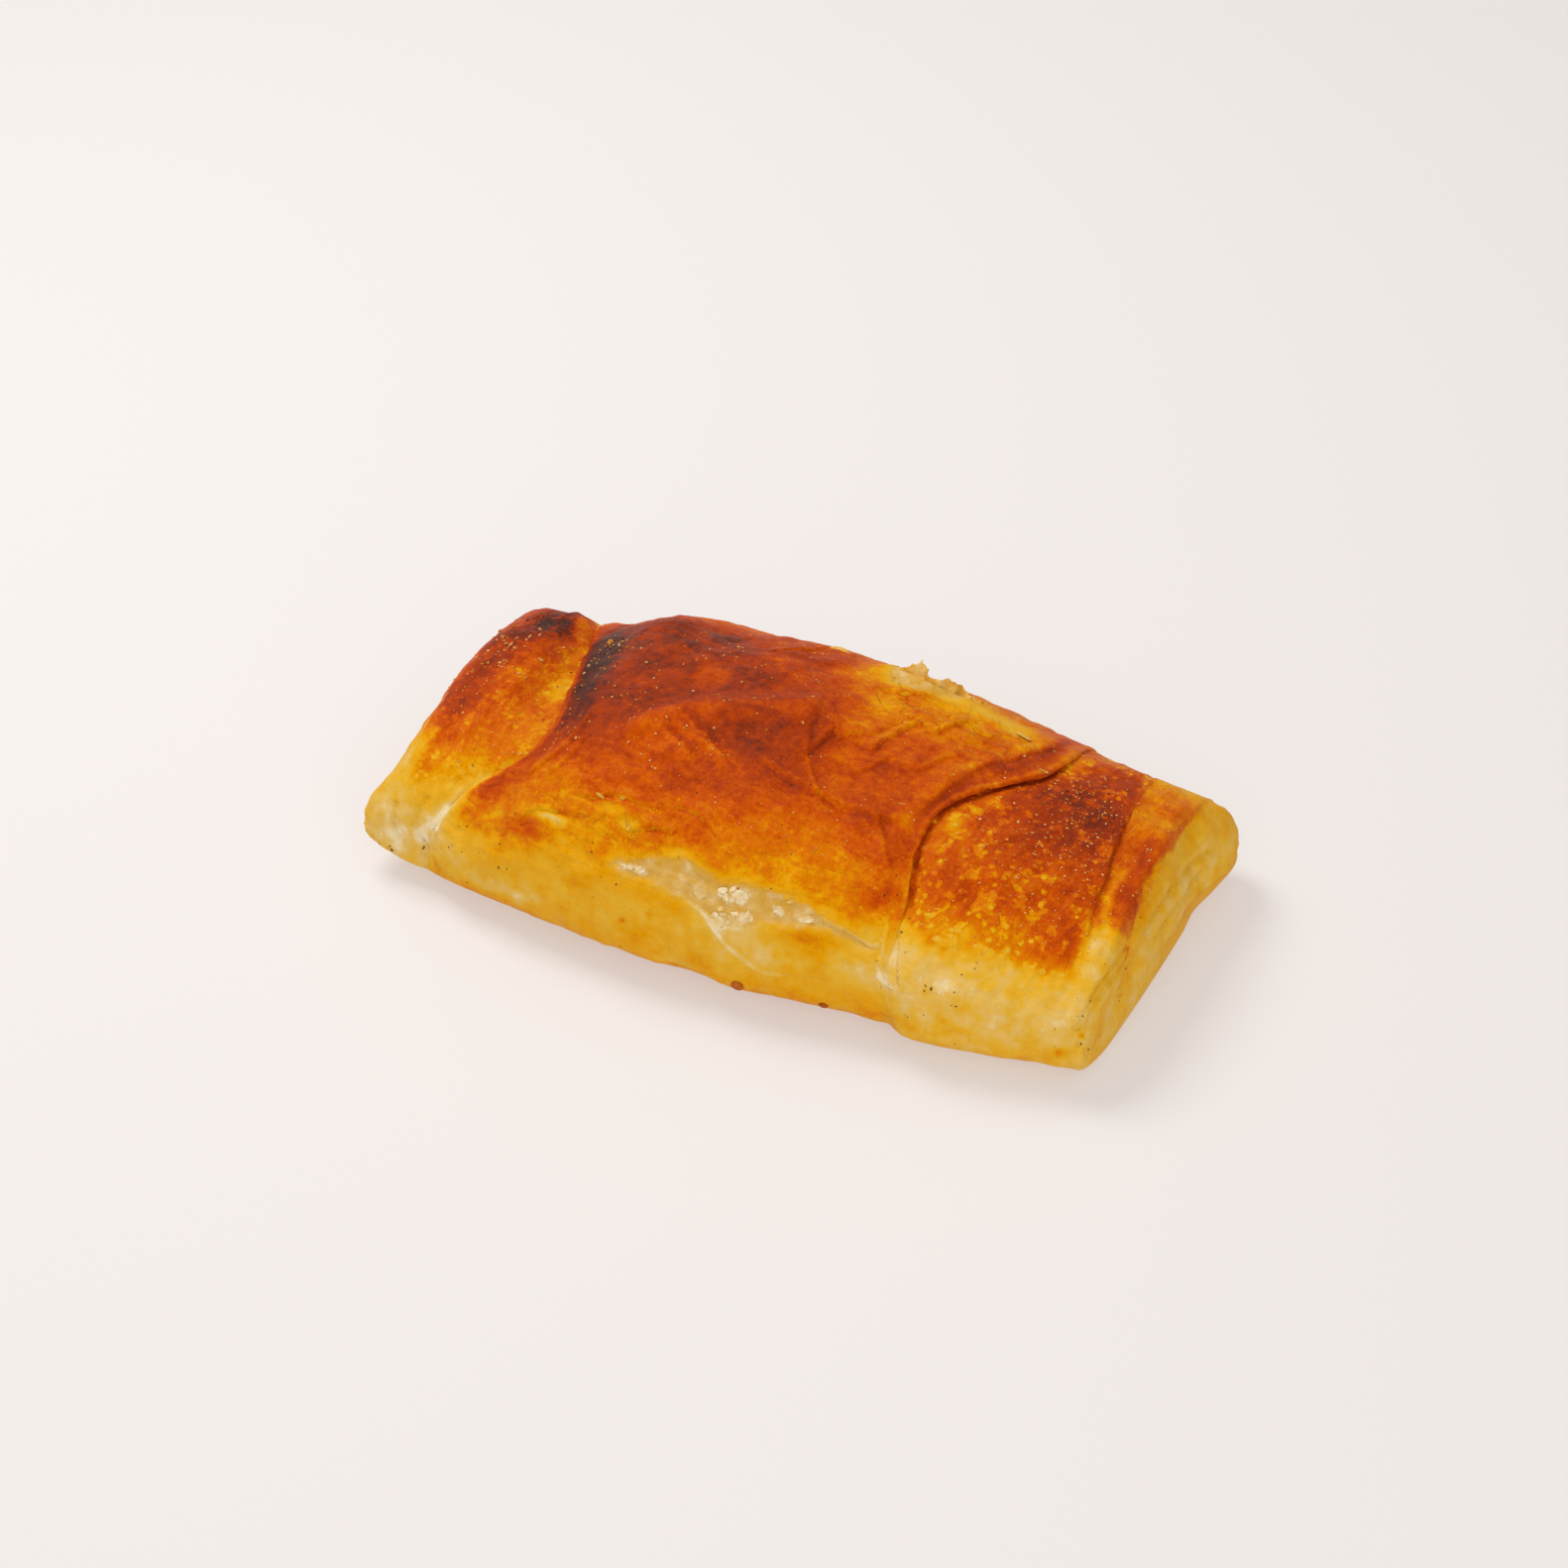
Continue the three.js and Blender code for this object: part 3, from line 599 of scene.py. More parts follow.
    def lay_patterns(self):
        """Lays each panel out flat, turned to the way its dough was drawn, and says how blistered it is."""
        round_mm = self.angle * SKIN_PER_DEGREE
        upper = {name: over >= 0.5 for name, over in self.over.items()}
        panels = {
            "left": ~upper["left"],
            "middle": upper["left"] & upper["lap"],
            "right": ~upper["lap"] & upper["end"],
            "end": ~upper["end"],
        }
        self.drawn = np.zeros((*self.x.shape, 3))
        self.blister = np.zeros(self.x.shape)
        for name, (degrees, blistered) in PANELS.items():
            cos, sin = math.cos(math.radians(degrees)), math.sin(math.radians(degrees))
            lengthwise = cos * self.place + sin * round_mm
            across = cos * round_mm - sin * self.place
            flat = np.stack((lengthwise, across, np.zeros(self.x.shape)), -1)
            self.drawn = np.where(panels[name][..., None], flat, self.drawn)
            self.blister = np.where(panels[name], blistered, self.blister)
        self.flaky = FLAKY_ELSEWHERE + patches(FLAKY_PLACES, self.place, self.angle)

    def drawn_grain(self, length, width, seed):
        """Grain stretched along the way the dough was drawn."""
        return grain(self.drawn / (length, width, 1), 1, seed)

    def fine_relief(self):
        """Height of the ridges, wrinkles, torn edges and bare places over the folded sheets."""
        height = grains(self.point, DOUGH_GRAIN) + WRINKLE_HEIGHT * self.drawn_grain(*WRINKLES)
        self.ridge, self.step_light = np.zeros((2, *height.shape))
        for spread, rise, points in RIDGES:
            crest = bell(line_distance(points, self.place, self.angle), spread)
            self.ridge = np.maximum(self.ridge, crest)
            height += rise * crest
        for rise, width, points in STEPS:
            off = line_distance(points, self.place, self.angle) + self.rough["step"]
            height += rise * np.where(off < 0, np.exp(-np.abs(off) / width), -STEP_DIP * np.exp(-np.abs(off)))
            # the step's painted shade and highlight
            self.step_light += sum(change * bell(off - at, spread) for at, spread, change in STEP_LIGHT_BANDS)
        height -= CREASE_DEPTH * bell(self.crease, CREASE_SPREAD)
        for off, (rise, before, behind) in ((self.tear, TEAR_STEP), (self.lip, LIP_STEP)):
            height += rise * np.where(off < 0, bell(off, before), -bell(off, behind))
        depth, reach = END_TUCK_STEP
        height -= depth * np.where(self.past_tuck > 0, np.exp(-np.abs(self.past_tuck) / reach), 0)
        height -= BARE_DEPTH * ease(self.bare, *BARE_EDGE)
        height += SCRAP_HEIGHT * ease(self.scrap, *SCRAP_EDGE)
        foot = grains(self.point, FOOT_GRAIN) * bell(self.angle - FOOT_ANGLE, FOOT_TURN)
        return height * self.shows + foot

    def roughen_crust(self):
        """Moves each corner out or in by the fine relief."""
        height = self.fine_relief()
        self.point = self.point + self.find_normals() * height[..., None]
        self.point[..., 2] = np.maximum(0, self.point[..., 2])
        self.normal = self.find_normals()

    def brown_crust(self):
        """How browned each corner is, from 0, raw dough, to 1, charred."""
        x = self.place + grains(self.point, BROWN_WANDER_X)
        angle = self.angle + grains(self.point, BROWN_WANDER_ANGLE)
        tone = {panel: along(points, angle) for panel, points in BROWNING.items()}
        tone["right"] = along(BROWNING["right"], angle + DRIP_TURN * self.drawn_grain(*DRIPS))
        for panel, fold, inside, spread, points in FOLD_BANDS:
            tone[panel] = tone[panel] + along(points, angle) * bell(self.inside[fold] - inside, spread)
        face = blend(tone["tuck"], tone["face"], ease(self.past_tuck, *FACE_EDGE))
        end = blend(tone["end"], face, ease(self.past_tuck, *TUCK_EDGE))
        brown = blend(tone["left"], tone["middle"], self.over["left"])
        brown = blend(blend(end, tone["right"], self.over["end"]), brown, self.over["lap"])
        for name, fold in FOLDS.items():
            over = self.over[name]
            crisp = np.clip(1 - along(fold["softness"], self.angle) / CRISP_WIDTH, 0, 1)
            # Crisp lips are painted paler: a painted highlight on their lit face
            brown = brown - fold["paler"] * 4 * over * (1 - over) * crisp
        # Ridge crests are painted paler, a painted sheen
        brown = brown - RIDGE_SHEEN * self.ridge * ease(brown, *RIDGE_SHEEN_FROM) + self.step_light
        brown = brown + patches(BROWN_PLACES, x, angle)
        for spread, change, points in BROWN_LINES:
            brown = brown + change * bell(line_distance(points, x, angle), spread)
        self.browning = np.clip(brown, 0, 1)

    def seat(self, x, angle):
        """The corner nearest to a place, in millimetres from the origin, and the way out of the crust."""
        row = np.abs(self.angle[0] - angle).argmin()
        column = np.abs(self.place[:, row] - x).argmin()
        return Vector(self.point[column, row] - MIDDLE), Vector(self.normal[column, row])


def hex_colour(code):
    """Linear colour of an sRGB hex value."""
    srgb = np.array([int(code[i:i + 2], 16) / 255 for i in (1, 3, 5)])
    linear = np.where(srgb <= 0.04045, srgb / 12.92, ((srgb + 0.055) / 1.055) ** 2.4)
    return (*linear, 1)


def add_node(material, kind, inputs, stops=(), **settings):
    """Adds a shader node with its settings and, on a ramp, its stops: (place, hex colour).
    Each input is a value or another node's output."""
    node = material.node_tree.nodes.new(kind)
    for name, value in settings.items():
        setattr(node, name, value)
    for key, value in inputs.items():
        if isinstance(value, bpy.types.NodeSocket):
            material.node_tree.links.new(node.inputs[key], value)
        else:
            node.inputs[key].default_value = value
    for place, _ in stops[2:]:
        node.color_ramp.elements.new(place)
    for i, (place, colour) in enumerate(stops):
        node.color_ramp.elements[i].position = place
        node.color_ramp.elements[i].color = hex_colour(colour)
    return node.outputs


def new_material(name, inputs):
    """A material whose one shader has these constant inputs."""
    material = bpy.data.materials.new(name)
    material.use_nodes = True
    shader = material.node_tree.nodes["Principled BSDF"]
    for key, value in inputs.items():
        shader.inputs[key].default_value = value
    return material, shader


# What the crust's corners tell its material
LOOKS = ("browning", "blister", "flaky", "bare", "scrap", "tear", "lip", "crease")
# Noises on the crust: size in millimetres, detail and roughness
CRUST_NOISES = {
    "cloud": (6, 6, 0.6), "fine": (0.6, 3, 0.6), "bend": (9, 3, 0.5), "mottle": (1.5, 4, 0.7),
    "blotch": (3.2, 4, 0.5), "patch": (2.8, 3, 0.5), "wobble": (0.8, 2, 0.5), "broken": (3.5, 2, 0.5),
    "layer": (7, 4, 0.56), "crumb": (3, 4, 0.56),
}
STREAK_SIZE = (9, 1.2, 1)  # streaks along the way the dough was drawn
STREAK_BEND = (7, 7, 0)  # how far they wander
# Cells of the skin: size, and the channel of their random colour that picks some of them
CELLS = {"dome": (1.7, "Red"), "fleck": (0.9, "Blue")}
CELL_WOBBLE = 1  # how far their outlines wander
# How the crust's patterns are made: name, operation and inputs, where a word is an earlier pattern.
# SMOOTHSTEP takes a pattern, the two values between which it counts, and what it gives at each.
PATTERNS = (
    # Noises about zero
    ("ragged", "SUBTRACT", "fine", 0.5),
    ("mottled", "SUBTRACT", "mottle", 0.5),
    ("streaky", "SUBTRACT", "streak", 0.5),
    ("cloudy", "SUBTRACT", "cloud", 0.5),
    ("blotchy", "SUBTRACT", "blotch", 0.5),
    # Streaks, grain and mottling where the dough is baked, and cream blotches where it is pale
    ("baked", "SMOOTHSTEP", "browning", 0.3, 0.62, 0, 1),
    ("streak weight", "MULTIPLY_ADD", "baked", 0.17, 0.06),
    ("streaks", "MULTIPLY", "streaky", "streak weight"),
    ("grain weight", "MULTIPLY_ADD", "baked", 0.13, 0.05),
    ("grain", "MULTIPLY", "ragged", "grain weight"),
    ("mottling", "MULTIPLY", "mottled", "baked"),
    ("raw", "SMOOTHSTEP", "browning", 0.22, 0.46, 1, 0),
    ("blotches", "MULTIPLY", "blotchy", "raw"),
    # Blistered skin: gold patches with ragged edges and small pale domes
    ("browned", "SMOOTHSTEP", "browning", 0.22, 0.5, 0.1, 1.1),
    ("blistered", "MULTIPLY", "blister", "browned"),
    ("patchy", "SMOOTHSTEP", "patch", 0.54, 0.62, 0, 1),
    ("patches", "MULTIPLY", "patchy", "blistered"),
    ("rounds", "SMOOTHSTEP", "dome far", 0.24, 0.42, 1, 0),
    ("picked", "GREATER_THAN", "dome chance", 0.55),
    ("bubbles", "MULTIPLY", "rounds", "picked"),
    ("domes", "MULTIPLY", "bubbles", "blistered"),
    # Torn edges, with a painted highlight where the skin lifts and a painted shadow just below
    ("breaks", "SMOOTHSTEP", "broken", 0.4, 0.56, 0, 1),
    ("torn", "MULTIPLY_ADD", "ragged", 1.2, "tear"),
    ("torn far", "ABSOLUTE", "torn"),
    ("torn near", "SMOOTHSTEP", "torn far", 0, 0.32, 1, 0),
    ("lifted", "MULTIPLY", "torn near", "breaks"),
    ("under", "SUBTRACT", "torn", 0.4),
    ("under far", "ABSOLUTE", "under"),
    ("under near", "SMOOTHSTEP", "under far", 0, 0.4, 1, 0),
    ("below", "MULTIPLY", "under near", "breaks"),
    # Thin layers of dough that end in ragged steps, each rim painted a little paler as a highlight
    ("bent layer", "MULTIPLY_ADD", "streaky", 0.25, "layer"),
    ("layers", "MULTIPLY", "bent layer", 6),
    ("layered", "MULTIPLY", "flaky", "breaks"),
    ("layer share", "FRACT", "layers"),
    ("rim", "SMOOTHSTEP", "layer share", 0, 0.16, 1, 0),
    ("rims", "MULTIPLY", "rim", "layered"),
    ("layer number", "FLOOR", "layers"),
    ("terraces", "MULTIPLY", "layer number", "layered"),
    # Long pale lips, partly a painted highlight, and fine creases darkened with painted shade
    ("ragged lip", "MULTIPLY_ADD", "ragged", 0.8, "lip"),
    ("lip side", "ADD", "ragged lip", 0.3),
    ("lip far", "ABSOLUTE", "lip side"),
    ("lips", "SMOOTHSTEP", "lip far", 0.15, 0.7, 1, 0),
    ("ragged crease", "MULTIPLY_ADD", "ragged", 1.2, "crease"),
    ("creases", "SMOOTHSTEP", "ragged crease", 0, 0.9, 1, 0),
    # Bare dough where the skin is gone, yellower towards it, and scraps of white skin left on it
    ("ragged bare", "MULTIPLY_ADD", "ragged", 2.4, "bare"),
    ("bare edge", "MULTIPLY_ADD", "cloudy", 3, "ragged bare"),
    ("bare dough", "SMOOTHSTEP", "bare edge", -0.8, 0.5, 0, 0.9),
    ("near bare", "SMOOTHSTEP", "bare edge", -2.6, 0.2, 0, 1),
    ("ragged scrap", "MULTIPLY_ADD", "ragged", 1.8, "scrap"),
    ("scrap edge", "SMOOTHSTEP", "ragged scrap", -0.1, 0.35, 0, 1),
    ("scrap weight", "MULTIPLY_ADD", "mottled", 2.4, 0.95),
    ("scraps", "MULTIPLY", "scrap edge", "scrap weight"),
    ("crumbs", "MULTIPLY_ADD", "streaky", 0.25, "crumb"),
    # Pale flecks of dough
    ("rare", "SUBTRACT", "fleck chance", 0.8),
    ("fleck size", "MULTIPLY", "rare", 1.5),
    ("flecks", "LESS_THAN", "fleck far", "fleck size"),
)
# What the patterns add to the browning, and to the height of the skin in millimetres
TONES = {
    "cloudy": 0.4, "streaks": 1, "grain": 1, "mottling": 0.16, "blotches": 0.5, "patches": -0.12,
    # Painted light among these: highlights on lifted edges, rims and, in part, lips; shade below torn edges
    # and in creases
    "domes": -0.13, "rims": -0.12, "lifted": -0.06, "below": 0.06, "lips": -0.12, "creases": 0.05,
    "near bare": -0.1, "flecks": -0.1,
}
HEIGHTS = {
    "cloud": 0.5, "streaks": 0.9, "mottled": 0.12, "blotches": 0.25, "fine": 0.09, "domes": 0.12,
    "lifted": 0.12, "terraces": -0.16, "lips": 0.06, "scraps": 0.1, "bare dough": -0.14, "creases": -0.15,
    "flecks": 0.05,
}
BUMP = 0.9  # share of that height that shows
PALE_ROUGHNESS, CHARRED_ROUGHNESS = 0.6, 0.46
# Colours of the browned crust, of the bare dough and of the scraps on it
CRUST_STOPS = (
    (0.0, "#EAD6A8"), (0.14, "#DFB862"), (0.28, "#DFAC2E"), (0.42, "#DD9902"), (0.52, "#D27302"),
    (0.64, "#C45003"), (0.74, "#AB3B07"), (0.84, "#8E3011"), (0.92, "#6C2816"), (1.0, "#432620"),
)
BARE_STOPS = ((0.3, "#CC9838"), (0.48, "#D1A450"), (0.6, "#D6B068"), (0.75, "#E2C894"))
SCRAP_STOPS = ((0.35, "#DDBA74"), (0.65, "#EEDDB4"))


def crust_material():
    """Baked dough, egg-washed and browned in the oven.
    It is golden to dark red-brown with a soft gloss, and matt where it is bare."""
    material, shader = new_material("baked_dough_browned", {
        "Specular IOR Level": 0.1, "Specular Tint": hex_colour("#FFA050"), "Subsurface Weight": 0.06,
        "Subsurface Scale": 1.2 * MM, "Subsurface Radius": (1.0, 0.45, 0.15)})
    node = partial(add_node, material)
    pattern = {name: node("ShaderNodeAttribute", {}, attribute_name=name)["Fac"] for name in LOOKS}
    drawn = node("ShaderNodeAttribute", {}, attribute_name="drawn")["Vector"]
    place = node("ShaderNodeTexCoord", {})["Object"]
    noises = {name: node("ShaderNodeTexNoise", {
        "Vector": place, "Scale": 1 / (size * MM), "Detail": detail, "Roughness": roughness})
        for name, (size, detail, roughness) in CRUST_NOISES.items()}
    pattern.update({name: outputs["Fac"] for name, outputs in noises.items()})
    bend, wobble = noises["bend"]["Color"], noises["wobble"]["Color"]
    bent, wobbled = (
        node("ShaderNodeVectorMath", dict(enumerate(inputs)), operation="MULTIPLY_ADD")["Vector"]
        for inputs in ((bend, STREAK_BEND, drawn), (wobble, (CELL_WOBBLE * MM,) * 3, place)))
    long_way = node("ShaderNodeVectorMath", {0: bent, 1: STREAK_SIZE}, operation="DIVIDE")["Vector"]
    pattern["streak"] = node("ShaderNodeTexNoise", {
        "Vector": long_way, "Scale": 1, "Detail": 5, "Roughness": 0.62})["Fac"]
    for name, (size, chance) in CELLS.items():
        cells = node("ShaderNodeTexVoronoi", {"Vector": wobbled, "Scale": 1 / (size * MM)})
        pattern[name + " far"] = cells["Distance"]
        pattern[name + " chance"] = node("ShaderNodeSeparateColor", {"Color": cells["Color"]})[chance]
    for name, operation, *inputs in PATTERNS:
        sockets = {i: pattern.get(value, value) for i, value in enumerate(inputs)}
        if operation == "SMOOTHSTEP":
            pattern[name] = node("ShaderNodeMapRange", sockets, interpolation_type=operation)["Result"]
        else:
            pattern[name] = node("ShaderNodeMath", sockets, operation=operation)["Value"]
    sums = {"tone": pattern["browning"], "height": 0}
    for total, weights in (("tone", TONES), ("height", HEIGHTS)):
        for name, weight in weights.items():
            inputs = {0: pattern[name], 1: weight, 2: sums[total]}
            sums[total] = node("ShaderNodeMath", inputs, operation="MULTIPLY_ADD")["Value"]
    colour = node("ShaderNodeValToRGB", {"Fac": sums["tone"]}, CRUST_STOPS)["Color"]
    for name, stops in (("bare dough", BARE_STOPS), ("scraps", SCRAP_STOPS)):
        below = node("ShaderNodeValToRGB", {"Fac": pattern["crumbs"]}, stops)["Color"]
        colour = node("ShaderNodeMix", {"Factor": pattern[name], 6: colour, 7: below}, data_type="RGBA")[2]
    gloss = node("ShaderNodeMapRange", {
        "Value": sums["tone"], "To Min": PALE_ROUGHNESS, "To Max": CHARRED_ROUGHNESS})["Result"]
    bump = node("ShaderNodeBump", {"Height": sums["height"], "Strength": BUMP, "Distance": MM})["Normal"]
    for socket, output in (("Base Color", colour), ("Roughness", gloss), ("Normal", bump)):
        material.node_tree.links.new(shader.inputs[socket], output)
    return material


# Plain materials: size of their mottling in millimetres, roughness, gloss and (place, hex colour) stops
MATERIALS = {
    # Crumbs of toasted dough: light warm dots, matt, that stand out on the dark crust
    "dough_crumb_toasted": (1.5, 0.7, 0.08, ((0.35, "#B6671F"), (0.5, "#D48F40"), (0.65, "#E8B474"))),
    # Crumbs of burnt dough: matt specks from brown to nearly black
    "dough_crumb_burnt": (1.5, 0.7, 0.2, ((0.35, "#2C170E"), (0.5, "#552A12"), (0.65, "#87491C"))),
    # Husk of a toasted seed: smooth, reddish brown
    "seed_husk_toasted": (1.5, 0.6, 0.1, ((0.35, "#8A400C"), (0.65, "#C0681A"))),
    # Skin torn off the baked dough: thin and golden, with a dull shine
    "dough_skin_torn": (2.5, 0.6, 0.15, ((0.35, "#CE942C"), (0.5, "#DBAA46"), (0.65, "#E7C67E"))),
    # Skin dried on the bare dough: matt and nearly white
    "dough_skin_dried": (1.5, 0.7, 0.1, ((0.35, "#DDBE80"), (0.65, "#EFE0BC"))),
}


def toned_material(name):
    """A plain material mottled between a few colours."""
    size, roughness, gloss, stops = MATERIALS[name]
    material, shader = new_material(name, {"Roughness": roughness, "Specular IOR Level": gloss})
    node = partial(add_node, material)
    place = node("ShaderNodeTexCoord", {})["Object"]
    mottle = node("ShaderNodeTexNoise", {"Vector": place, "Scale": 1 / (size * MM), "Detail": 2})["Fac"]
    colour = node("ShaderNodeValToRGB", {"Fac": mottle}, stops)["Color"]
    material.node_tree.links.new(shader.inputs["Base Color"], colour)
    return material


def add_object(name, data):
    """A new object in the scene."""
    thing = bpy.data.objects.new(name, data)
    bpy.context.scene.collection.objects.link(thing)
    return thing


def finish_piece(name, mesh, material):
    """Makes a mesh a piece of the object, riding on its one body."""
    piece = add_object(name, mesh)
    mesh.materials.append(material)
    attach(piece, "root")
    return piece


def take_mesh(name, shape):
    """The shape as a new mesh."""
    mesh = bpy.data.meshes.new(name)
    shape.to_mesh(mesh)
    shape.free()
    return mesh


WELD = 1e-6  # corners closer than this, in metres, are one


def crust_piece(skin):
    """The whole crust as one closed mesh, a grid rolled round the parcel and shut at both ends."""
    columns, rows = skin.x.shape
    shape = bmesh.new()
    bmesh.ops.create_grid(shape, x_segments=columns - 1, y_segments=rows - 1, size=1)
    mesh = take_mesh("crust", shape)
    flat = np.empty(len(mesh.vertices) * 3)
    mesh.vertices.foreach_get("co", flat)
    flat = flat.reshape(-1, 3)
    column = np.rint((flat[:, 0] + 1) / 2 * (columns - 1)).astype(int)
    row = np.rint((flat[:, 1] + 1) / 2 * (rows - 1)).astype(int)
    points = (skin.point[column, row] - MIDDLE) * MM
    mesh.vertices.foreach_set("co", points.ravel())
    for name in LOOKS:
        layer = mesh.attributes.new(name, "FLOAT", "POINT")
        layer.data.foreach_set("value", getattr(skin, name)[column, row])
    layer = mesh.attributes.new("drawn", "FLOAT_VECTOR", "POINT")
    layer.data.foreach_set("vector", skin.drawn[column, row].ravel())
    shape = bmesh.new()
    shape.from_mesh(mesh)
    bmesh.ops.remove_doubles(shape, verts=shape.verts, dist=WELD)
    open_edges = [edge for edge in shape.edges if edge.is_boundary]
    caps = bmesh.ops.holes_fill(shape, edges=open_edges, sides=0)["faces"]
    bmesh.ops.triangulate(shape, faces=caps)
    bmesh.ops.recalc_face_normals(shape, faces=shape.faces)
    for face in shape.faces:
        face.smooth = True
    shape.to_mesh(mesh)
    shape.free()
    piece = finish_piece("crust", mesh, crust_material())
    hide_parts("borek")


# Where crumbs lie: x, angle, length, turn, count and size
SANDY_GRAINS = (
    (55, 98, 7, 12, 200, 0.3), (60, 88, 5, 8, 110, 0.3), (52, 75, 9, 12, 150, 0.26),
    (60, 60, 6, 12, 80, 0.26), (70, 92, 3, 10, 40, 0.32), (-61, 94, 4, 5, 60, 0.44),
    (-63, 84, 3, 6, 40, 0.38), (-41, 97, 2.4, 7, 40, 0.4), (-28, 78, 8, 14, 70, 0.34),
    (-8, 80, 12, 14, 70, 0.32), (-10, 105, 16, 12, 70, 0.34), (14, 60, 14, 14, 60, 0.3),
    (32, 100, 8, 10, 20, 0.32), (-52, 65, 5, 12, 50, 0.3), (-37, 70, 1.5, 12, 20, 0.3),
    (-43.5, 105, 0.5, 1, 1, 0.8),
)
DARK_CRUMBS = (
    (-58, 115, 2.5, 4, 12, 0.4), (-64, 112, 2, 3, 14, 0.45), (-41, 98, 3, 8, 20, 0.4),
    (54, 100, 8, 12, 14, 0.32), (46.5, 21.8, 0.5, 0.4, 2, 0.55), (47, 15, 0.8, 3, 2, 0.34),
    (40, 24, 3, 10, 6, 0.24), (55, 20, 14, 14, 14, 0.22), (-50, 12, 10, 12, 14, 0.26),
    (-10, 25, 20, 14, 16, 0.22), (-15, 70, 24, 30, 24, 0.22), (20, 60, 16, 30, 20, 0.22),
    (78, 60, 4, 25, 14, 0.24), (-61, 2, 0.5, 1, 2, 0.4), (-68, -8, 3, 2, 4, 0.3),
)
# Brown bits of seed at the foot of the front
BROWN_BITS = ((10.1, -4, 0, 0, 1, 1.2), (26.4, -7, 0, 0, 1, 1.2))
# Lumps on the crust: where they lie, their material, how finely they are rounded, how flat and how uneven
LUMPS = {
    "sandy_grains": (SANDY_GRAINS, "dough_crumb_toasted", 1, 0.7, 0.42),
    "dark_crumbs": (DARK_CRUMBS, "dough_crumb_burnt", 1, 0.6, 0.42),
    "brown_bits": (BROWN_BITS, "seed_husk_toasted", 3, 0.5, 0.06),
}
LUMP_SCALE = 0.6  # radius of a lump of size 1
LUMP_SPREAD, LUMP_LARGEST = 0.35, 0.5  # how much their sizes vary, and the most, as powers of e
LUMP_BULGE = 0.6  # they bulge by this share of what they cave in
LUMP_SEAT = 0.15  # their middles lie this share of their height above the crust


def scatter(skin, places, rng):
    """Seats picked at random round each place, with the way out of the crust and a size for each."""
    picked = []
    for x, angle, length, turn, count, size in places:
        for _ in range(count):
            seat, out = skin.seat(rng.gauss(x, length), rng.gauss(angle, turn))
            growth = math.exp(min(LUMP_LARGEST, rng.gauss(0, LUMP_SPREAD)))
            picked.append((seat, out, size * LUMP_SCALE * growth))
    return picked


def lump_piece(name, picked, material, rounds, flatness, uneven, rng):
    """Many small lumps pressed into the crust, joined as one piece."""
    shape = bmesh.new()
    bmesh.ops.create_icosphere(shape, subdivisions=rounds, radius=1)
    shape.verts.ensure_lookup_table()
    ball = np.array([vert.co for vert in shape.verts])
    faces = np.array([[vert.index for vert in face.verts] for face in shape.faces])
    shape.free()
    verts, polygons = [], []
    for count, (seat, out, size) in enumerate(picked):
        turn = out.to_track_quat("Z", "Y").to_matrix() @ Matrix.Rotation(rng.uniform(0, math.tau), 3, "Z")
        scale = np.array((rng.uniform(1, 1 + uneven), rng.uniform(1 - uneven, 1), flatness))
        rough = np.array([rng.uniform(1 - uneven, 1 + LUMP_BULGE * uneven) for _ in ball])[:, None]
        corners = (ball * rough * scale * size) @ np.array(turn).T
        verts.append((corners + np.array(seat + out * size * flatness * LUMP_SEAT)) * MM)
        polygons.append(faces + count * len(ball))
    mesh = bpy.data.meshes.new(name)
    mesh.from_pydata(np.concatenate(verts).tolist(), [], np.concatenate(polygons).tolist())
    mesh.shade_smooth()
    finish_piece(name, mesh, material)


# Thin flakes of skin, loose on the crust and white on the bare dough: their material and, for each, x, angle,
# length, width, spin and tilt
FLAKES = {
    "loose_flakes": ("dough_skin_torn", ((39.6, 116, 2.1, 1.2, 20, 14), (46.6, 105, 0.6, 0.4, 30, 8),
        (47.4, 104.4, 0.5, 0.3, 100, 10), (-17.8, 49.6, 0.8, 0.4, 10, 14), (-22, 48, 0.9, 0.4, 150, 12),
        (-14.6, 41, 0.8, 0.4, 80, 16), (9.4, 34.4, 0.7, 0.5, 40, 10), (18.6, 33.6, 0.9, 0.5, 10, 10),
        (6.2, 23.6, 0.6, 0.5, 60, 10))),
    "white_shards": ("dough_skin_dried", ((6, 30.5, 1.1, 0.6, 20, 6), (7.6, 31.6, 0.9, 0.5, 70, 8),
        (8.9, 30.2, 1.2, 0.6, -20, 6), (10.2, 31.4, 0.7, 0.4, 40, 8), (7.2, 28.8, 0.8, 0.4, 100, 8),
        (9.8, 28.8, 0.6, 0.4, 10, 8), (5.2, 20.8, 1.2, 0.5, 30, 6), (7.2, 22.4, 1, 0.5, 15, 8),
        (9.2, 24, 1.1, 0.5, 25, 6), (11.4, 24.8, 0.9, 0.5, 50, 8), (8.2, 20.2, 0.8, 0.4, 60, 8),
        (-12.6, 28.2, 1.2, 0.5, 10, 6), (-10.2, 27.6, 0.8, 0.4, 30, 8), (16.6, 29, 0.6, 0.4, 30, 8),
        (22.6, 29.2, 0.9, 0.4, 20, 8))),
}
FLAKE_CORNERS = 7
FLAKE_THICKNESS = 0.06
FLAKE_REACH = (0.5, 1.2)  # least and most share of its size that a corner reaches
FLAKE_CURL = 0.08  # share of its length by which a flake's ends curl up
FLAKE_LIFT = 0.6  # share of a tilted flake's low side that is kept above the crust


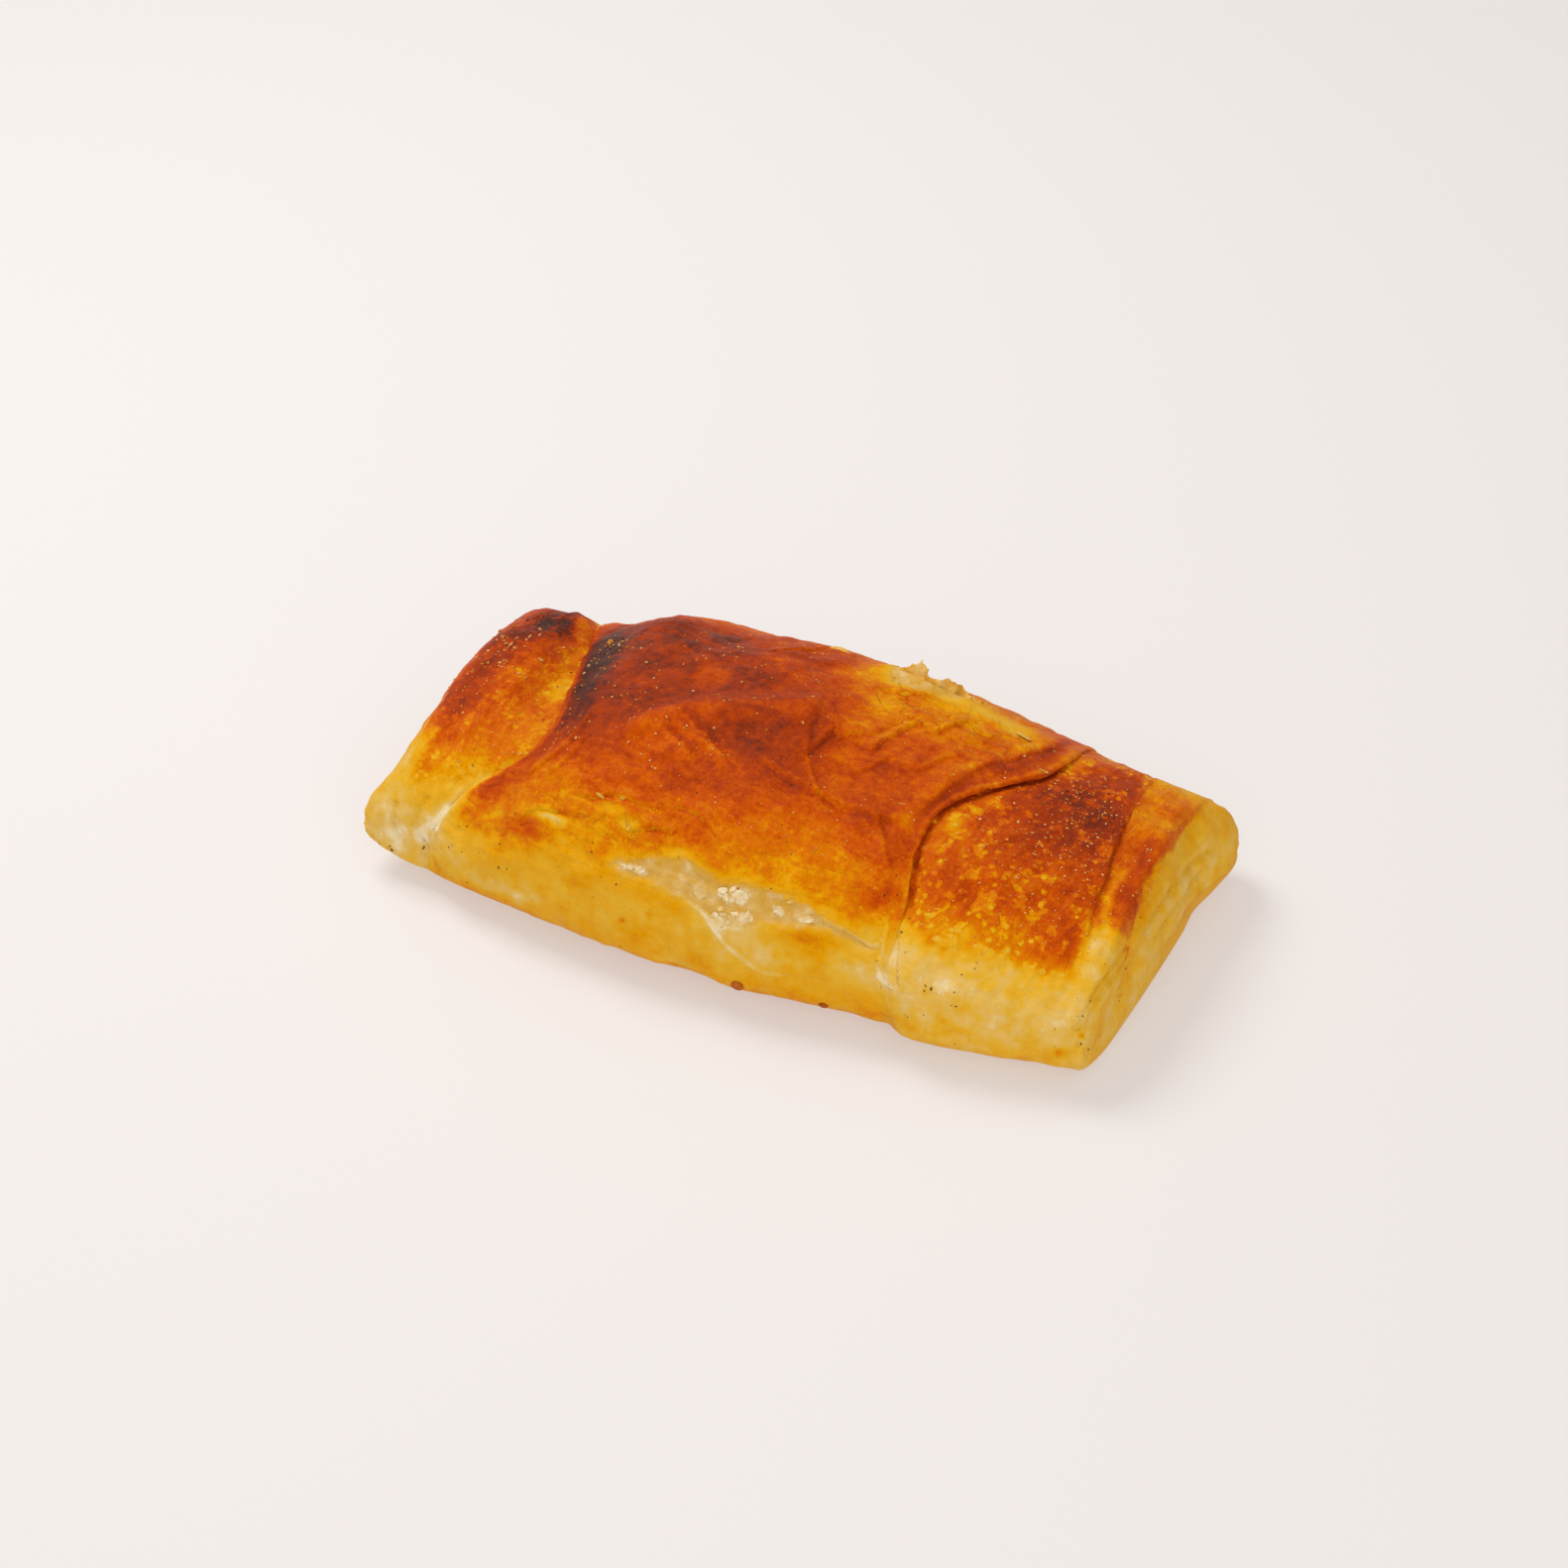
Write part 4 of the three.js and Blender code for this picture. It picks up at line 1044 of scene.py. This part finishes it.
def flake_piece(name, skin, flakes, material, rng):
    """Thin uneven flakes of skin, joined as one piece."""
    shape = bmesh.new()
    for x, angle, length, width, spin, tilt in flakes:
        seat, out = skin.seat(x, angle)
        seat += out * (FLAKE_THICKNESS + width * math.sin(math.radians(tilt)) * FLAKE_LIFT)
        turn = (out.to_track_quat("Z", "Y").to_matrix() @ Matrix.Rotation(math.radians(spin), 3, "Z")
                @ Matrix.Rotation(math.radians(tilt), 3, "X"))
        disc = bmesh.ops.create_cone(shape, cap_ends=True, cap_tris=True, segments=FLAKE_CORNERS, radius1=1,
                                     radius2=1, depth=2)
        reach = [rng.uniform(*FLAKE_REACH) for _ in range(FLAKE_CORNERS)]
        for vert in disc["verts"]:
            corner = round(math.atan2(vert.co.y, vert.co.x) / math.tau * FLAKE_CORNERS) % FLAKE_CORNERS
            flat = Vector((vert.co.x * length, vert.co.y * width, 0)) * reach[corner]
            rise = vert.co.z * FLAKE_THICKNESS + FLAKE_CURL * flat.x * flat.x / length
            vert.co = (seat + turn @ (flat + Vector((0, 0, rise)))) * MM
    finish_piece(name, take_mesh(name, shape), material)


# Torn skin standing up along a line: lean in degrees and (x, angle, height) points
TORN_EDGES = (
    (15, ((11, 123, 0.3), (13, 123, 1.2), (14.5, 123, 2.4), (16, 122.5, 3.6), (17, 122.5, 2.6),
          (18.6, 121.5, 1.2), (20, 122, 2), (22.5, 123, 2.7), (24.5, 124.5, 2.2), (25.8, 125, 1),
          (27, 126, 0.4), (28.5, 127, 0.9), (30, 129, 0.2))),
    (25, ((-4, 125, 0.2), (-2.5, 125.5, 0.9), (-1, 126, 1.1), (0.5, 126, 0.6), (2, 127, 0.2))),
)
TORN_STEP, TORN_ROWS = 0.25, 5  # length of its faces, and how many stand above each other
TORN_THICKNESS = 0.14
TORN_ROOT = 0.3  # how deep it stands in the crust
TORN_HEIGHT = 0.9  # share of the stated height that it has before it is ragged
TORN_RAGS = ((0.25, 0.9, 7.3, 0), (0.15, 0.35, 3.1, 5))  # height and length of its rags, and their noise
TORN_WAVE = (0.3, 2, 1.5)  # how far it waves to and fro, the length of a wave, and its change up the skin
TORN_LEAN = 0.5  # share of its lean at the root


def torn_piece(name, skin, material):
    """Ragged edges of skin standing up along torn lines, joined as one piece."""
    shape = bmesh.new()
    sway, wave_length, twist = TORN_WAVE
    for number, (lean, points) in enumerate(TORN_EDGES):
        xs, angles, heights = np.array(points, float).T
        run = np.concatenate(((0,), np.cumsum(np.hypot(np.diff(xs), np.diff(angles) * SKIN_PER_DEGREE))))
        steps = int(run[-1] / TORN_STEP)
        sheet = bmesh.ops.create_grid(shape, x_segments=steps, y_segments=TORN_ROWS, size=1)
        for vert in sheet["verts"]:
            at = (vert.co.x + 1) / 2 * run[-1]
            up = (vert.co.y + 1) / 2
            seat, out = skin.seat(np.interp(at, run, xs), np.interp(at, run, angles))
            away = (Vector((0, 1, 0)) - out * out.y).normalized()
            ragged = TORN_HEIGHT + sum(rag * noise.noise(Vector((at / length, number * shift, level)))
                                       for rag, length, shift, level in TORN_RAGS)
            rise = up * np.interp(at, run, heights) * ragged
            tip = math.radians(lean) * (TORN_LEAN + up)
            wave = sway * up * noise.noise(Vector((at / wave_length, up * twist, number)))
            stand = out * (rise * math.cos(tip) - TORN_ROOT) + away * (rise * math.sin(tip) + wave)
            vert.co = (seat + stand) * MM
        faces = list(dict.fromkeys(face for vert in sheet["verts"] for face in vert.link_faces))
        bmesh.ops.solidify(shape, geom=faces, thickness=TORN_THICKNESS * MM)
    bmesh.ops.recalc_face_normals(shape, faces=shape.faces)
    finish_piece(name, take_mesh(name, shape), material)


# Camera: degrees round from the front, up from level and rolled, the point that it looks at and its distance
# in metres, and its focal length and the photograph's width in pixels
CAMERA_ROUND, CAMERA_UP, CAMERA_ROLL = 29, 38.346, -3.128
CAMERA_AIM = (-0.015134, 0.022823, 0)
CAMERA_DISTANCE = 0.66942
FOCAL_PIXELS, PHOTO_PIXELS = 3465, 1582
SENSOR_WIDTH = 36


def make_camera():
    """The camera at the photograph's viewing angle."""
    camera = add_object("camera", bpy.data.cameras.new("camera"))
    place = Matrix.Translation(CAMERA_AIM)
    for turn, axis in ((CAMERA_ROUND, "Z"), (90 - CAMERA_UP, "X"), (CAMERA_ROLL, "Z")):
        place = place @ Matrix.Rotation(math.radians(turn), 4, axis)
    camera.matrix_world = place @ Matrix.Translation((0, 0, CAMERA_DISTANCE))
    camera.data.sensor_width = SENSOR_WIDTH
    camera.data.lens = SENSOR_WIDTH * FOCAL_PIXELS / PHOTO_PIXELS
    bpy.context.scene.camera = camera


# Lamps: name, place and size in metres, and power
LAMPS = (
    ("key", (-0.38, 0.14, 0.66), 0.35, 3.4),
    ("fill", (0.4, -0.62, 0.42), 0.9, 3.1),
)
FLOOR_REACH = 3  # metres each way
WORLD_COLOUR, WORLD_STRENGTH = "#FFFAF6", 0.53


def make_studio():
    """A pale floor, a bright soft surround, a lamp behind on the left and a broad weaker one in front."""
    scene = bpy.context.scene
    scene.view_settings.view_transform = "Standard"
    shape = bmesh.new()
    bmesh.ops.create_grid(shape, x_segments=1, y_segments=1, size=FLOOR_REACH)
    mesh = take_mesh("floor", shape)
    floor = add_object("floor", mesh)
    # A frosted panel, lit from within: an even, nearly white ground with soft shadows
    material, _ = new_material("frosted_panel_lit", {
        "Base Color": hex_colour("#A8A5A3"), "Roughness": 0.7, "Emission Color": hex_colour("#FFF8F5"),
        "Emission Strength": 0.43})
    mesh.materials.append(material)
    world = bpy.data.worlds.new("studio")
    world.use_nodes = True
    scene.world = world
    background = world.node_tree.nodes["Background"].inputs
    background["Color"].default_value = hex_colour(WORLD_COLOUR)
    background["Strength"].default_value = WORLD_STRENGTH
    for name, location, size, energy in LAMPS:
        lamp = add_object(name, bpy.data.lights.new(name, "AREA"))
        lamp.location = location
        lamp.rotation_euler = lamp.location.to_track_quat("Z", "Y").to_euler()
        lamp.data.size = size
        lamp.data.energy = energy


make_camera()
make_studio()
rng = random.Random(SEED)
skin = Skin()
crust_piece(skin)
materials = {name: toned_material(name) for name in MATERIALS}
for name, (places, material, *form) in LUMPS.items():
    lump_piece(name, scatter(skin, places, rng), materials[material], *form, rng)
for name, (material, flakes) in FLAKES.items():
    flake_piece(name, skin, flakes, materials[material], rng)
torn_piece("torn_skin", skin, materials["dough_skin_torn"])
